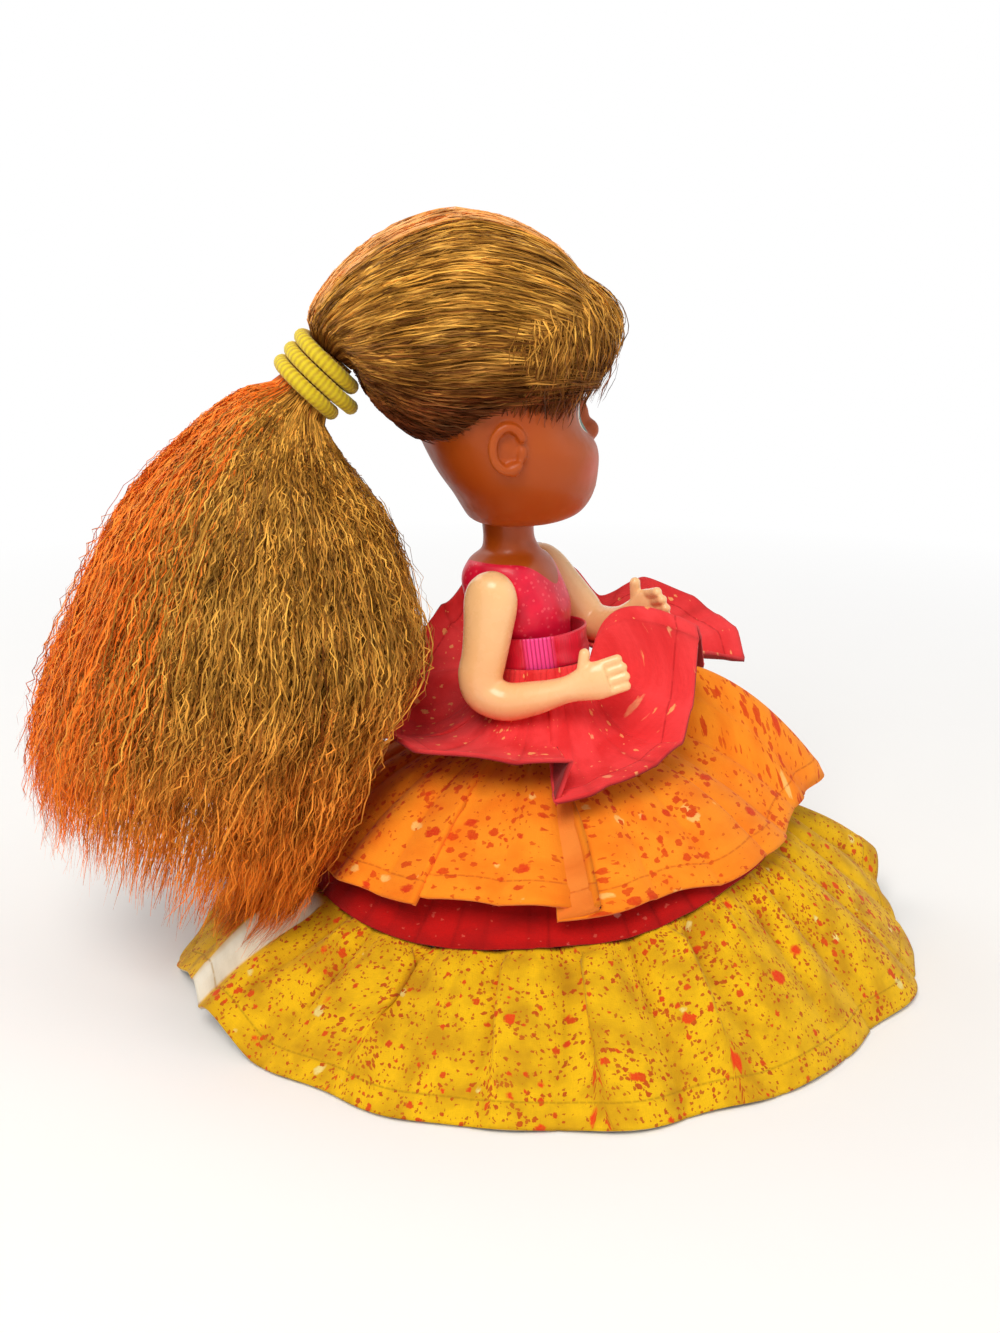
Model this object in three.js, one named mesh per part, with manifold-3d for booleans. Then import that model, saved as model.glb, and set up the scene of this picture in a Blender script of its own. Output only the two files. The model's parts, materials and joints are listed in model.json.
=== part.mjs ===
// A fashion doll with a combed-back ponytail and a skirt of three gathered tiers.
// Millimetres, +Z up, the face towards -Y, the doll's right side towards -X.
// Drawn round the neck's axis; the last lines move it onto the middle of its footprint.
import * as THREE from "three";
import { mergeVertices } from "three/addons/utils/BufferGeometryUtils.js";
import Module from "manifold-3d";

const wasm = await Module();
wasm.setup();

// Fits and thicknesses
const FIT = 0.3;
const WALL = 1.6;
const CLOTH = 0.8;
const SLIVER = 0.01;

// Heights of the body
const HIP_HEIGHT = 42;
const HIP_TO_WAIST = 19;
const WAIST_TO_SHOULDER = 13;
const SHOULDER_TO_NECK_TOP = 12.3;
const WAIST_HEIGHT = HIP_HEIGHT + HIP_TO_WAIST;
const SHOULDER_HEIGHT = WAIST_HEIGHT + WAIST_TO_SHOULDER;
const NECK_TOP = SHOULDER_HEIGHT + SHOULDER_TO_NECK_TOP;
const HEAD_BASE = NECK_TOP + FIT;

// Joint axes, behind or ahead of the neck's axis, and the body's turn to its right under the head
const SHOULDER_Y = -0.8;
const HIP_Y = -6;
const BODY_TURN = THREE.MathUtils.degToRad(-32);

// Torso and neck
const CHEST_HALF_WIDTH = 9.2;
const WAIST_HALF_WIDTH = 7;
const PELVIS_HALF_WIDTH = 4;
const NECK_RADIUS = 5.2;
const SPIGOT_RADIUS = 4;
const KNOB_RADIUS = 5.4;
const KNOB_HEIGHT = 3;

// Arms and legs
const SHOULDER_PEG_RADIUS = 2;
const SHOULDER_FLANGE_RADIUS = 2.6;
const SHOULDER_FLANGE_FROM = 3.2;
const SHOULDER_FLANGE_TO = 4.6;
const ARM_HALF_ACROSS = 3.8;
const ARM_X = CHEST_HALF_WIDTH + FIT + ARM_HALF_ACROSS + 0.1;
const FINGER_RADIUS = 0.95;
const FINGER_LENGTH = 4.2;
const THUMB_RADIUS = 1.05;
const HIP_PEG_RADIUS = 1.8;
const HIP_PEG_END = 0.6;
const THIGH_RADIUS = 4.1;
const LEG_X = PELVIS_HALF_WIDTH + FIT + THIGH_RADIUS;
const SHOE_WALL = 1.1;
const SHOE_TOP = 5.2;

// Head and hair
const HEAD_FLOOR = 2.4;
const EAR_HEIGHT = 17;
const EAR_Y = 5.2;
const EAR_X = 21.2;
const STREAK_HALF_WIDTH = 11;
const STREAK_FLOOR = 31.4;
const STREAK_LAYER = 9;
const HAIR_SWEEP_RADIUS = 20.6;
const WHORL_Y = 2;
const FRINGE_THICKNESS = 3.4;
const FRINGE_SPREAD = 1.16;
const FRINGE_SIDE = 62;

// Elastic wound three times round the ponytail
const ELASTIC_Y = 36.5;
const ELASTIC_HEIGHT = 27.9;
const ELASTIC_TILT = THREE.MathUtils.degToRad(50);
const ELASTIC_CORD = 2.4;
const ELASTIC_TURNS = 3;
const ELASTIC_SPACE = 0.55;
const ELASTIC_SLACK = 2.2;
const BUNDLE_RADIUS = 4.6;
const LOOP_STEPS = 24;
const LOOP_SIDES = 6;

// Sash and skirt. The cloth tables give heights for a waist at TABLE_WAIST and follow the waist.
const SASH_WIDTH = 6.2;
const SASH_RADIUS = 9.6;
const SASH_RISE = 1;
const SASH_Y = -5.2;
const SASH_LEAN = 0.9;
const BAND_RADIUS = 8.8;
const BAND_FROM = 54.6;
const BAND_TO = 57.3;
const TABLE_WAIST = 61;
const SKIRT_X = -HIP_Y * Math.sin(BODY_TURN);
const SKIRT_Y = HIP_Y * Math.cos(BODY_TURN);
const SEAM_RADIUS = 46;
const SEAM_HEIGHT = 24;
const HEM_RADIUS = 70;
const HEM_FOLD = 1.5;
const HEM_BELLY = 2.2;
const SEAM_DROP = 0.4;
const MIDDLE_HEM_RADIUS = 46;
const MIDDLE_HEM_HEIGHT = 30;
const MIDDLE_FOLD = 0.8;
const TOP_START = BAND_TO + 0.7;

const RING_POINTS = 20;
const { degToRad, lerp, smoothstep, clamp } = THREE.MathUtils;
const vector = (x, y, z) => new THREE.Vector3(x, y, z);

// A ring of points; across, ahead and behind are its half widths as vectors.
function ring(centre, across, ahead, behind, squareness = 2, count = RING_POINTS) {
  const power = 2 / squareness;
  return Array.from({ length: count }, (_, index) => {
    const angle = (index / count) * Math.PI * 2;
    const side = Math.sign(Math.cos(angle)) * Math.abs(Math.cos(angle)) ** power;
    const depth = Math.abs(Math.sin(angle)) ** power;
    const towards = Math.sin(angle) >= 0 ? behind : ahead;
    return centre.clone().addScaledVector(across, side).addScaledVector(towards, depth);
  });
}

// A level ring, from its half widths to the side, ahead and behind.
function levelRing(z, halfWidth, ahead, behind, y, squareness, x = 0) {
  return ring(vector(x, y, z), vector(halfWidth, 0, 0), vector(0, -ahead, 0), vector(0, behind, 0), squareness);
}

// A ring in an upright plane across X, between an outer and an inner point in the YZ plane.
function spanRing(outer, inner, halfWidth, squareness) {
  const centre = outer.clone().add(inner).multiplyScalar(0.5);
  const half = outer.clone().sub(inner).multiplyScalar(0.5);
  return ring(centre, vector(halfWidth, 0, 0), half.clone().negate(), half, squareness);
}

// Turns a closed surface so that its faces look outwards.
function facingOut(geometry) {
  const at = geometry.attributes.position;
  const index = geometry.index.array;
  const [a, b, c] = [vector(), vector(), vector()];
  let volume = 0;
  for (let i = 0; i < index.length; i += 3) {
    a.fromBufferAttribute(at, index[i]);
    b.fromBufferAttribute(at, index[i + 1]);
    c.fromBufferAttribute(at, index[i + 2]);
    volume += a.dot(b.cross(c));
  }
  if (volume < 0) {
    for (let i = 0; i < index.length; i += 3) {
      [index[i + 1], index[i + 2]] = [index[i + 2], index[i + 1]];
    }
  }
  return geometry;
}

function closedSurface(points, triangles) {
  const geometry = new THREE.BufferGeometry().setFromPoints(points);
  geometry.setIndex(triangles);
  return facingOut(geometry);
}

// A closed skin over a row of rings, with a fan over each end.
function skin(rings) {
  const count = rings[0].length;
  const points = rings.flat();
  const triangles = [];
  for (let row = 0; row + 1 < rings.length; row += 1) {
    for (let i = 0; i < count; i += 1) {
      const a = row * count + i;
      const b = row * count + ((i + 1) % count);
      triangles.push(a, b, b + count, a, b + count, a + count);
    }
  }
  const ends = [rings[0], rings[rings.length - 1]];
  ends.forEach((end, last) => {
    const middle = end.reduce((sum, point) => sum.add(point), vector(0, 0, 0)).divideScalar(count);
    const start = last ? (rings.length - 1) * count : 0;
    points.push(middle);
    for (let i = 0; i < count; i += 1) {
      const a = start + i;
      const b = start + ((i + 1) % count);
      triangles.push(points.length - 1, last ? a : b, last ? b : a);
    }
  });
  return closedSurface(points, triangles);
}

// A sheet of even thickness on surface(turn, fall), both from 0 to 1; closed means all the way round.
function sheet(surface, around, along, thickness, closed) {
  const columns = closed ? around : around + 1;
  const point = (i, j) => surface(closed ? ((i % around) + around) % around / around : i / around, j / along);
  const grid = [];
  for (let i = 0; i < columns; i += 1) {
    grid.push(Array.from({ length: along + 1 }, (_, j) => point(i, j)));
  }
  const column = (i) => (closed ? grid[(i + columns) % columns] : grid[clamp(i, 0, columns - 1)]);
  const points = [];
  for (const side of [0.5, -0.5]) {
    for (let i = 0; i < columns; i += 1) {
      for (let j = 0; j <= along; j += 1) {
        const round = column(i + 1)[j].clone().sub(column(i - 1)[j]);
        const down = grid[i][Math.min(j + 1, along)].clone().sub(grid[i][Math.max(j - 1, 0)]);
        const offset = round.cross(down).normalize().multiplyScalar(side * thickness);
        const placed = grid[i][j].clone().add(offset);
        placed.z = grid[i][j].z < 0.01 ? 0 : Math.max(placed.z, 0);
        points.push(placed);
      }
    }
  }
  const half = columns * (along + 1);
  const at = (i, j, side) => side * half + (i % columns) * (along + 1) + j;
  const triangles = [];
  const quad = (a, b, c, d) => triangles.push(a, b, c, a, c, d);
  for (let i = 0; i < (closed ? columns : columns - 1); i += 1) {
    for (let j = 0; j < along; j += 1) {
      quad(at(i, j, 0), at(i, j + 1, 0), at(i + 1, j + 1, 0), at(i + 1, j, 0));
      quad(at(i, j, 1), at(i + 1, j, 1), at(i + 1, j + 1, 1), at(i, j + 1, 1));
    }
    quad(at(i, 0, 0), at(i + 1, 0, 0), at(i + 1, 0, 1), at(i, 0, 1));
    quad(at(i, along, 0), at(i, along, 1), at(i + 1, along, 1), at(i + 1, along, 0));
  }
  for (let j = 0; !closed && j < along; j += 1) {
    const last = columns - 1;
    quad(at(0, j, 0), at(0, j, 1), at(0, j + 1, 1), at(0, j + 1, 0));
    quad(at(last, j, 0), at(last, j + 1, 0), at(last, j + 1, 1), at(last, j, 1));
  }
  return closedSurface(points, triangles);
}

// Joining and cutting
function bareOf(geometry) {
  const bare = geometry.clone();
  bare.deleteAttribute("normal");
  bare.deleteAttribute("uv");
  return mergeVertices(bare);
}

function solid(geometry) {
  const merged = bareOf(geometry);
  return new wasm.Manifold(new wasm.Mesh({
    numProp: 3,
    vertProperties: new Float32Array(merged.attributes.position.array),
    triVerts: new Uint32Array(merged.index.array),
  }));
}

// The surface of a joined or cut body, with the slivers along its cuts closed up.
function geometryOf(manifold) {
  const mesh = manifold.simplify(SLIVER).getMesh();
  const geometry = new THREE.BufferGeometry();
  geometry.setAttribute("position", new THREE.BufferAttribute(new Float32Array(mesh.vertProperties), 3));
  geometry.setIndex(Array.from(mesh.triVerts));
  return geometry;
}

// The body left after a cut, without loose crumbs.
function mainBody(manifold) {
  return manifold.decompose().sort((one, other) => other.volume() - one.volume())[0];
}

const join = (geometries) => geometries.map(solid).reduce((whole, next) => whole.add(next));
const mirrored = (geometry) => facingOut(geometry.clone().scale(-1, 1, 1));

// Plain shapes
function rodAlongX(radius, from, to, y, z) {
  const rod = new THREE.CylinderGeometry(radius, radius, to - from, 16).rotateZ(Math.PI / 2);
  return rod.translate((from + to) / 2, y, z);
}

function egg(radii, centre) {
  return new THREE.SphereGeometry(1, 12, 8).scale(...radii).translate(...centre);
}

// A capsule from one point to another.
function capsule(radius, from, to) {
  const along = to.clone().sub(from);
  const turn = new THREE.Quaternion().setFromUnitVectors(vector(0, 1, 0), along.clone().normalize());
  const shape = new THREE.CapsuleGeometry(radius, along.length(), 2, 8).applyQuaternion(turn);
  return shape.translate(...from.clone().lerp(to, 0.5).toArray());
}

// A prism across X from an outline in the YZ plane, and one along Z from an outline in the XY plane.
function prismAcross(outline, halfWidth) {
  const shape = new THREE.Shape(outline.map(([y, z]) => new THREE.Vector2(y, z)));
  const prism = new THREE.ExtrudeGeometry(shape, { depth: halfWidth * 2, bevelEnabled: false });
  return prism.rotateY(Math.PI / 2).rotateX(Math.PI / 2).translate(-halfWidth, 0, 0);
}

function prismUp(outline, from, to) {
  const shape = new THREE.Shape(outline.map(([x, y]) => new THREE.Vector2(x, y)));
  return new THREE.ExtrudeGeometry(shape, { depth: to - from, bevelEnabled: false }).translate(0, 0, from);
}

// Torso: half shells that clamp the shoulder and hip pegs, with the neck and its knob
function torsoHalves() {
  const floorTop = HEAD_BASE + HEAD_FLOOR;
  const body = [
    // height, half width, ahead, behind, middle, squareness
    [HIP_HEIGHT - 6, PELVIS_HALF_WIDTH - 1, 4, 4, HIP_Y, 2.4],
    [HIP_HEIGHT - 4.5, PELVIS_HALF_WIDTH, 5.2, 5.2, HIP_Y, 2.4],
    [HIP_HEIGHT + 4.6, PELVIS_HALF_WIDTH, 6.2, 6.2, HIP_Y, 2.4],
    [HIP_HEIGHT + 6.4, WAIST_HALF_WIDTH + 0.8, 6.8, 6.8, HIP_Y, 2.2],
    [HIP_HEIGHT + 9, WAIST_HALF_WIDTH + 1.4, 7, 7, HIP_Y, 2.2],
    [HIP_HEIGHT + 14, WAIST_HALF_WIDTH + 0.7, 6.7, 6.8, -5.8, 2],
    [WAIST_HEIGHT, WAIST_HALF_WIDTH, 6.4, 6.8, -5.2, 2],
    [WAIST_HEIGHT + 5, WAIST_HALF_WIDTH + 1.4, 8, 7.8, -3, 2.1],
    [SHOULDER_HEIGHT - 3.5, CHEST_HALF_WIDTH, 9.6, 9.2, -1, 2.6],
    [SHOULDER_HEIGHT + 1.5, CHEST_HALF_WIDTH, 8.6, 9.4, 0.2, 2.6],
    [SHOULDER_HEIGHT + 4.8, CHEST_HALF_WIDTH - 0.8, 7, 8, 0.4, 2.4],
  ];
  const neck = [
    [SHOULDER_HEIGHT + 7, NECK_RADIUS + 0.6],
    [SHOULDER_HEIGHT + 9, NECK_RADIUS],
    [NECK_TOP, NECK_RADIUS],
    [NECK_TOP + 0.01, SPIGOT_RADIUS],
    [floorTop + FIT, SPIGOT_RADIUS],
    [floorTop + FIT + 0.6, KNOB_RADIUS],
    [floorTop + KNOB_HEIGHT, KNOB_RADIUS],
    [floorTop + KNOB_HEIGHT + 1, KNOB_RADIUS - 1.2],
  ];
  const bodyRing = ([z, halfWidth, ahead, behind, y, squareness], inset) =>
    levelRing(z, halfWidth - inset, ahead - inset, behind - inset, y, squareness);
  const neckRing = ([z, radius]) => levelRing(z, radius, radius, radius, 0, 2);
  const outside = skin([...body.map((row) => bodyRing(row, 0)), ...neck.map(neckRing)]);
  const inside = skin(body.slice(4).map((row) => bodyRing(row, WALL)));
  const shoulderHole = rodAlongX(
    SHOULDER_PEG_RADIUS + FIT, -CHEST_HALF_WIDTH * 2, CHEST_HALF_WIDTH * 2, SHOULDER_Y, SHOULDER_HEIGHT,
  );
  const socket = rodAlongX(HIP_PEG_RADIUS + FIT, HIP_PEG_END - FIT, PELVIS_HALF_WIDTH * 2, HIP_Y, HIP_HEIGHT);
  const whole = [inside, shoulderHole, socket, mirrored(socket)]
    .reduce((rest, cut) => rest.subtract(solid(cut)), solid(outside));
  const seam = [
    [HIP_Y, 0],
    [HIP_Y, HIP_HEIGHT + 9],
    [SHOULDER_Y, SHOULDER_HEIGHT - 4],
    [SHOULDER_Y, SHOULDER_HEIGHT + 3],
    [0, SHOULDER_HEIGHT + 8],
    [0, NECK_TOP + 40],
  ];
  const far = 60;
  const front = [...seam, [-far, NECK_TOP + 40], [-far, 0]];
  const back = [...seam, [far, NECK_TOP + 40], [far, 0]];
  return [front, back].map((outline) => whole.intersect(solid(facingOut(bareOf(prismAcross(outline, far))))));
}

// Limbs: rings along a path. Each row is x, y, z, half width across and half width in the plane.
function limbSkin(rows) {
  const centres = rows.map(([x, y, z]) => vector(x, y, z));
  return skin(rows.map(([, , , across, along], i) => {
    const before = centres[Math.max(i - 1, 0)];
    const after = centres[Math.min(i + 1, rows.length - 1)];
    const heading = after.clone().sub(before).normalize();
    const side = vector(1, 0, 0).addScaledVector(heading, -heading.x).normalize();
    const thick = heading.clone().cross(side).multiplyScalar(along);
    return ring(centres[i], side.multiplyScalar(across), thick.clone().negate(), thick, 2, 14);
  }));
}

// The hand at the end of an arm: thumb up, four fingers ahead of the palm.
function handShapes(knuckles, heading, up, curl) {
  const inward = vector(-1, 0, 0);
  const fingers = [-2.6, -0.9, 0.9, 2.6].map((offset) => {
    const from = knuckles.clone().addScaledVector(up, offset).addScaledVector(heading, -1.2);
    const length = FINGER_LENGTH - Math.abs(offset) * 0.25;
    const to = from.clone().addScaledVector(heading, length).addScaledVector(inward, curl);
    return capsule(FINGER_RADIUS, from, to);
  });
  const thumbFrom = knuckles.clone().addScaledVector(heading, -4.4).addScaledVector(up, 2.2);
  const thumbTo = thumbFrom.clone().addScaledVector(heading, 1.6).addScaledVector(up, 3.2);
  return [...fingers, capsule(THUMB_RADIUS, thumbFrom, thumbTo)];
}

// An arm on the +X side, drawn round its shoulder axis and then set at the shoulder.
function arm(rows, curl) {
  const [last, before] = [rows[rows.length - 1], rows[rows.length - 3]];
  const knuckles = vector(last[0], last[1], last[2]);
  const heading = knuckles.clone().sub(vector(before[0], before[1], before[2])).normalize();
  const up = heading.clone().cross(vector(1, 0, 0)).normalize();
  const shapes = [limbSkin(rows), ...handShapes(knuckles, heading, up, curl)];
  const peg = rodAlongX(SHOULDER_PEG_RADIUS, SHOULDER_FLANGE_FROM, ARM_X, 0, 0);
  const flange = rodAlongX(SHOULDER_FLANGE_RADIUS, SHOULDER_FLANGE_FROM, SHOULDER_FLANGE_TO, 0, 0);
  return join([...shapes, peg, flange].map((shape) => shape.translate(0, SHOULDER_Y, SHOULDER_HEIGHT)));
}

function bentArm() {
  return arm([
    [ARM_X - 0.2, 0, 5.3, 0.8, 0.8],
    [ARM_X - 0.2, 0, 4.6, 2.2, 2.6],
    [ARM_X - 0.1, 0, 2.8, 3.4, 4.3],
    [ARM_X, 0.1, 0, ARM_HALF_ACROSS, 5.1],
    [ARM_X + 0.4, 0.5, -5.5, 3.9, 4.7],
    [ARM_X + 1, 1.1, -11, 3.8, 4.3],
    [ARM_X + 1.5, 1.6, -14.6, 3.7, 4.3],
    [ARM_X + 1.7, 0.6, -17.4, 3.6, 4.1],
    [ARM_X + 1.6, -3.4, -18.8, 3.4, 3.7],
    [ARM_X + 1.2, -9, -17.6, 3.1, 3.2],
    [ARM_X + 0.4, -15.2, -15.4, 2.4, 2.5],
    [ARM_X - 0.1, -18, -14.3, 2.1, 3.1],
    [ARM_X - 0.6, -20.7, -13.3, 1.9, 3.6],
    [ARM_X - 1, -22.6, -12.6, 1.5, 3.2],
  ], 0.8);
}

function raisedArm() {
  const slope = degToRad(44);
  const along = (distance) => [-distance * Math.cos(slope), -distance * Math.sin(slope)];
  return arm([
    [ARM_X - 0.2, ...along(-5.3), 0.8, 0.8],
    [ARM_X - 0.2, ...along(-4.6), 2.2, 2.6],
    [ARM_X - 0.1, ...along(-2.8), 3.4, 4.3],
    [ARM_X, ...along(0), ARM_HALF_ACROSS, 5.1],
    [ARM_X + 0.4, ...along(5.5), 3.9, 4.7],
    [ARM_X + 0.7, ...along(10.5), 3.8, 4.2],
    [ARM_X + 0.6, ...along(14), 3.6, 3.9],
    [ARM_X - 0.2, -13.4, -10, 3.4, 3.6],
    [ARM_X - 1.8, -17, -8.8, 3, 3.2],
    [ARM_X - 3.4, -20.2, -6.2, 2.4, 2.5],
    [ARM_X - 4.2, -22, -5.2, 2.1, 3.1],
    [ARM_X - 5, -24, -4.2, 1.9, 3.6],
    [ARM_X - 5.6, -25.4, -3.6, 1.5, 3.2],
  ], 2);
}

// Legs and shoes, on the +X side
function legRows(grow) {
  const rows = [
    // height as a share of the hip's height, half width, half depth
    [1.105, 1.4, 1.5],
    [1.09, 2.8, 3],
    [1.05, 3.8, 4],
    [1, THIGH_RADIUS, 4.2],
    [0.82, THIGH_RADIUS, 4.6],
    [0.62, 3.7, 4.1],
    [0.48, 3.6, 4.1],
    [0.3, 3, 3.4],
    [0.19, 2.4, 2.7],
    [0.1, 2.3, 2.6],
  ];
  return rows.map(([share, halfWidth, halfDepth]) =>
    levelRing(HIP_HEIGHT * share, halfWidth + grow, halfDepth + grow, halfDepth + grow, HIP_Y, 2, LEG_X));
}

// A foot-shaped body: heel to toe, grown outwards all round by the same amount.
function footSkin(grow, top, drop = 0) {
  const sole = SHOE_WALL + FIT;
  const rows = [
    // y behind the hip, half width, underside, instep
    [3.2 + grow, 1.6, sole + 0.6, 4.6],
    [2.2, 2.5, sole, top],
    [-2, 2.6, sole, top],
    [-6.5, 2.8, sole, Math.min(top, 4.4)],
    [-9.5, 2.3, sole, Math.min(top, 3.6)],
    [-10.6 - grow, 1.2, sole + 0.4, 2.9],
  ];
  return skin(rows.map(([y, halfWidth, underside, instep]) => {
    const low = underside - grow - drop;
    const middle = vector(LEG_X, HIP_Y + y, (instep + grow + low) / 2);
    const up = vector(0, 0, (instep + grow - low) / 2);
    return ring(middle, vector(halfWidth + grow, 0, 0), up.clone().negate(), up, 2.8, 16);
  }));
}

function leg() {
  const peg = rodAlongX(HIP_PEG_RADIUS, HIP_PEG_END, LEG_X, HIP_Y, HIP_HEIGHT);
  return join([skin(legRows(0)), footSkin(0, 7), peg]);
}

function shoe() {
  const outside = footSkin(SHOE_WALL + FIT, SHOE_TOP - SHOE_WALL - FIT, SHOE_WALL);
  const flatSole = prismUp([[0, -40], [40, -40], [40, 40], [0, 40]], 0, 40);
  const opening = prismUp(
    [
      [LEG_X - 2.6, HIP_Y - 5.5],
      [LEG_X + 2.6, HIP_Y - 5.5],
      [LEG_X + 2.6, HIP_Y + 2.4],
      [LEG_X - 2.6, HIP_Y + 2.4],
    ],
    SHOE_WALL * 2, 40,
  );
  const rest = [footSkin(FIT, 7), skin(legRows(FIT)), opening]
    .reduce((body, cut) => body.subtract(solid(cut)), solid(outside).intersect(solid(flatSole)));
  return mainBody(rest);
}

// Head: a hollow shell over the neck's knob
function headRings(grow, from = 0) {
  const rows = [
    // height over the base, half width, ahead, behind
    [0, 7.4, 8, 8.6],
    [0.9, 10, 10.6, 10.2],
    [2.4, 13, 12.9, 11.6],
    [5.4, 16.5, 14.7, 13.6],
    [9.4, 19.4, 15.4, 15.8],
    [14.4, 21, 15.4, 17.6],
    [19.4, 21.4, 14.1, 19],
    [26, 21.4, 14.4, 20],
    [33.5, 20.5, 14.8, 20.5],
    [41, 17.5, 12.6, 19],
    [47, 12.4, 8.2, 15.2],
    [51, 6.4, 2.6, 9.8],
    [52.6, 1.6, -2.4, 5],
  ];
  return rows.filter(([height]) => height >= from).map(([height, halfWidth, ahead, behind], i, kept) => {
    const end = i === kept.length - 1 ? grow : 0;
    const start = i === 0 && from === 0 ? -grow : 0;
    const middle = (behind - ahead) / 2;
    const half = (behind + ahead) / 2 + grow;
    const across = Math.max(halfWidth + grow, 0.4);
    return levelRing(HEAD_BASE + height + end + start, across, half, half, middle, 2.2);
  });
}

const ear = (grow) => egg([1.8 + grow, 3 + grow, 4.6 + grow], [EAR_X, EAR_Y, HEAD_BASE + EAR_HEIGHT]);

function headShell() {
  const nose = egg([2.2, 2.9, 2.2], [0, -14.1, HEAD_BASE + EAR_HEIGHT - 0.2]);
  const lips = egg([3.4, 2, 1.7], [0, -14, HEAD_BASE + 7.2]);
  const outside = join([skin(headRings(0)), nose, lips, ear(0), mirrored(ear(0))]);
  const inside = solid(skin(headRings(-WALL, HEAD_FLOOR)));
  const hole = new THREE.CylinderGeometry(SPIGOT_RADIUS + FIT, SPIGOT_RADIUS + FIT, 20, RING_POINTS);
  hole.rotateX(Math.PI / 2).translate(0, 0, HEAD_BASE);
  return outside.subtract(inside).subtract(solid(hole));
}

// Everything that hair has to stay clear of
function headSpace() {
  return join([skin(headRings(FIT * 1.5)), ear(FIT), mirrored(ear(FIT))]);
}

// Where the ponytail is tied: a point on the bundle's axis and the two directions in the YZ plane
const TIE = vector(0, ELASTIC_Y, HEAD_BASE + ELASTIC_HEIGHT);
const TIE_ALONG = vector(0, Math.cos(ELASTIC_TILT), -Math.sin(ELASTIC_TILT));
const TIE_UP = vector(0, Math.sin(ELASTIC_TILT), Math.cos(ELASTIC_TILT));
const TURN_SPACING = ELASTIC_CORD + ELASTIC_SPACE;
const TIE_HALF = (ELASTIC_TURNS * TURN_SPACING) / 2;
const tiePoint = (along, up) => TIE.clone().addScaledVector(TIE_ALONG, along).addScaledVector(TIE_UP, up);
const hairPoint = (y, height) => vector(0, y, HEAD_BASE + height);

// A sheet from the whorl over the forehead, moved out by the given amount, with an arched low edge.
function fringeSheet(thickness, reach, out) {
  const start = [4.6 - reach / 2, 50.9 + reach / 4];
  const rows = [start, [12, 46.4], [18.4, 41.8], [20.9, 38], [21.6, 34.2], [21.2, 30], [20.4, 26.6]];
  const points = rows.map(([ahead, height]) => vector(ahead + out, 0, height + out / 2));
  const line = new THREE.CatmullRomCurve3(points);
  return sheet((turn, fall) => {
    const share = lerp(-1, 1, turn);
    const side = degToRad(share * (FRINGE_SIDE + reach));
    const end = lerp(0.7, 1, Math.abs(share) ** 2.2);
    const point = line.getPoint(fall * end);
    return vector(
      point.x * FRINGE_SPREAD * Math.sin(side),
      WHORL_Y - point.x * Math.cos(side),
      HEAD_BASE + point.z - reach * fall / 2,
    );
  }, 14, 8, thickness, false);
}

function hairOnHead() {
  const rows = [
    [hairPoint(-12.5, 44.4), hairPoint(-12, 17.4), 18.5],
    [hairPoint(-6, 50.9), hairPoint(-4, 14.4), 23],
    [hairPoint(3, 55.2), hairPoint(3.5, 12.4), 24.8],
    [hairPoint(12, 56.4), hairPoint(11, 12.4), 24.6],
    [hairPoint(20.5, 54), hairPoint(18, 14), 22.5],
    [hairPoint(28.5, 49.4), hairPoint(22.8, 17.6), 18],
    [hairPoint(34.5, 43.4), hairPoint(26.6, 22.4), 12],
    [tiePoint(-TIE_HALF - 2.6, 7.2), tiePoint(-TIE_HALF - 1.6, -7), 7.2],
    [tiePoint(-TIE_HALF - FIT, BUNDLE_RADIUS), tiePoint(-TIE_HALF - FIT, -BUNDLE_RADIUS), BUNDLE_RADIUS],
  ];
  const mass = solid(skin(rows.map(([top, bottom, halfWidth]) => spanRing(top, bottom, halfWidth, 2.3))));
  const hairline = [
    [-40, 26.4], [-10, 26.4], [2, 24.2], [8, 23.2], [13, 18.9], [17, 16.6], [40, 12], [40, -20], [-40, -20],
  ];
  const below = prismAcross(hairline.map(([y, height]) => [y, HEAD_BASE + height]), 60);
  const fringeSpace = [
    fringeSheet(FRINGE_THICKNESS + FIT * 2, 2, 0),
    fringeSheet(FRINGE_THICKNESS * 1.5, 2, FRINGE_THICKNESS * 0.75),
  ];
  const combed = [below, ...fringeSpace]
    .reduce((rest, cut) => rest.subtract(solid(facingOut(bareOf(cut)))), mass)
    .subtract(headSpace());
  const streakSpace = (grow) => {
    const wide = STREAK_HALF_WIDTH + grow;
    const narrow = BUNDLE_RADIUS * 0.6 + grow;
    const half = [[wide, -40], [wide, 18], [narrow, 33], [narrow, 60]];
    const outline = [...half, ...half.map(([x, y]) => [-x, y]).reverse()];
    return solid(prismUp(outline, HEAD_BASE + STREAK_FLOOR - grow, HEAD_BASE + 90));
  };
  return {
    sides: mainBody(combed.subtract(streakSpace(FIT / 2))),
    streak: mainBody(combed.intersect(streakSpace(-FIT / 2))),
  };
}

function fringe() {
  return mainBody(solid(fringeSheet(FRINGE_THICKNESS, 0, 0)).subtract(headSpace()));
}

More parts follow.
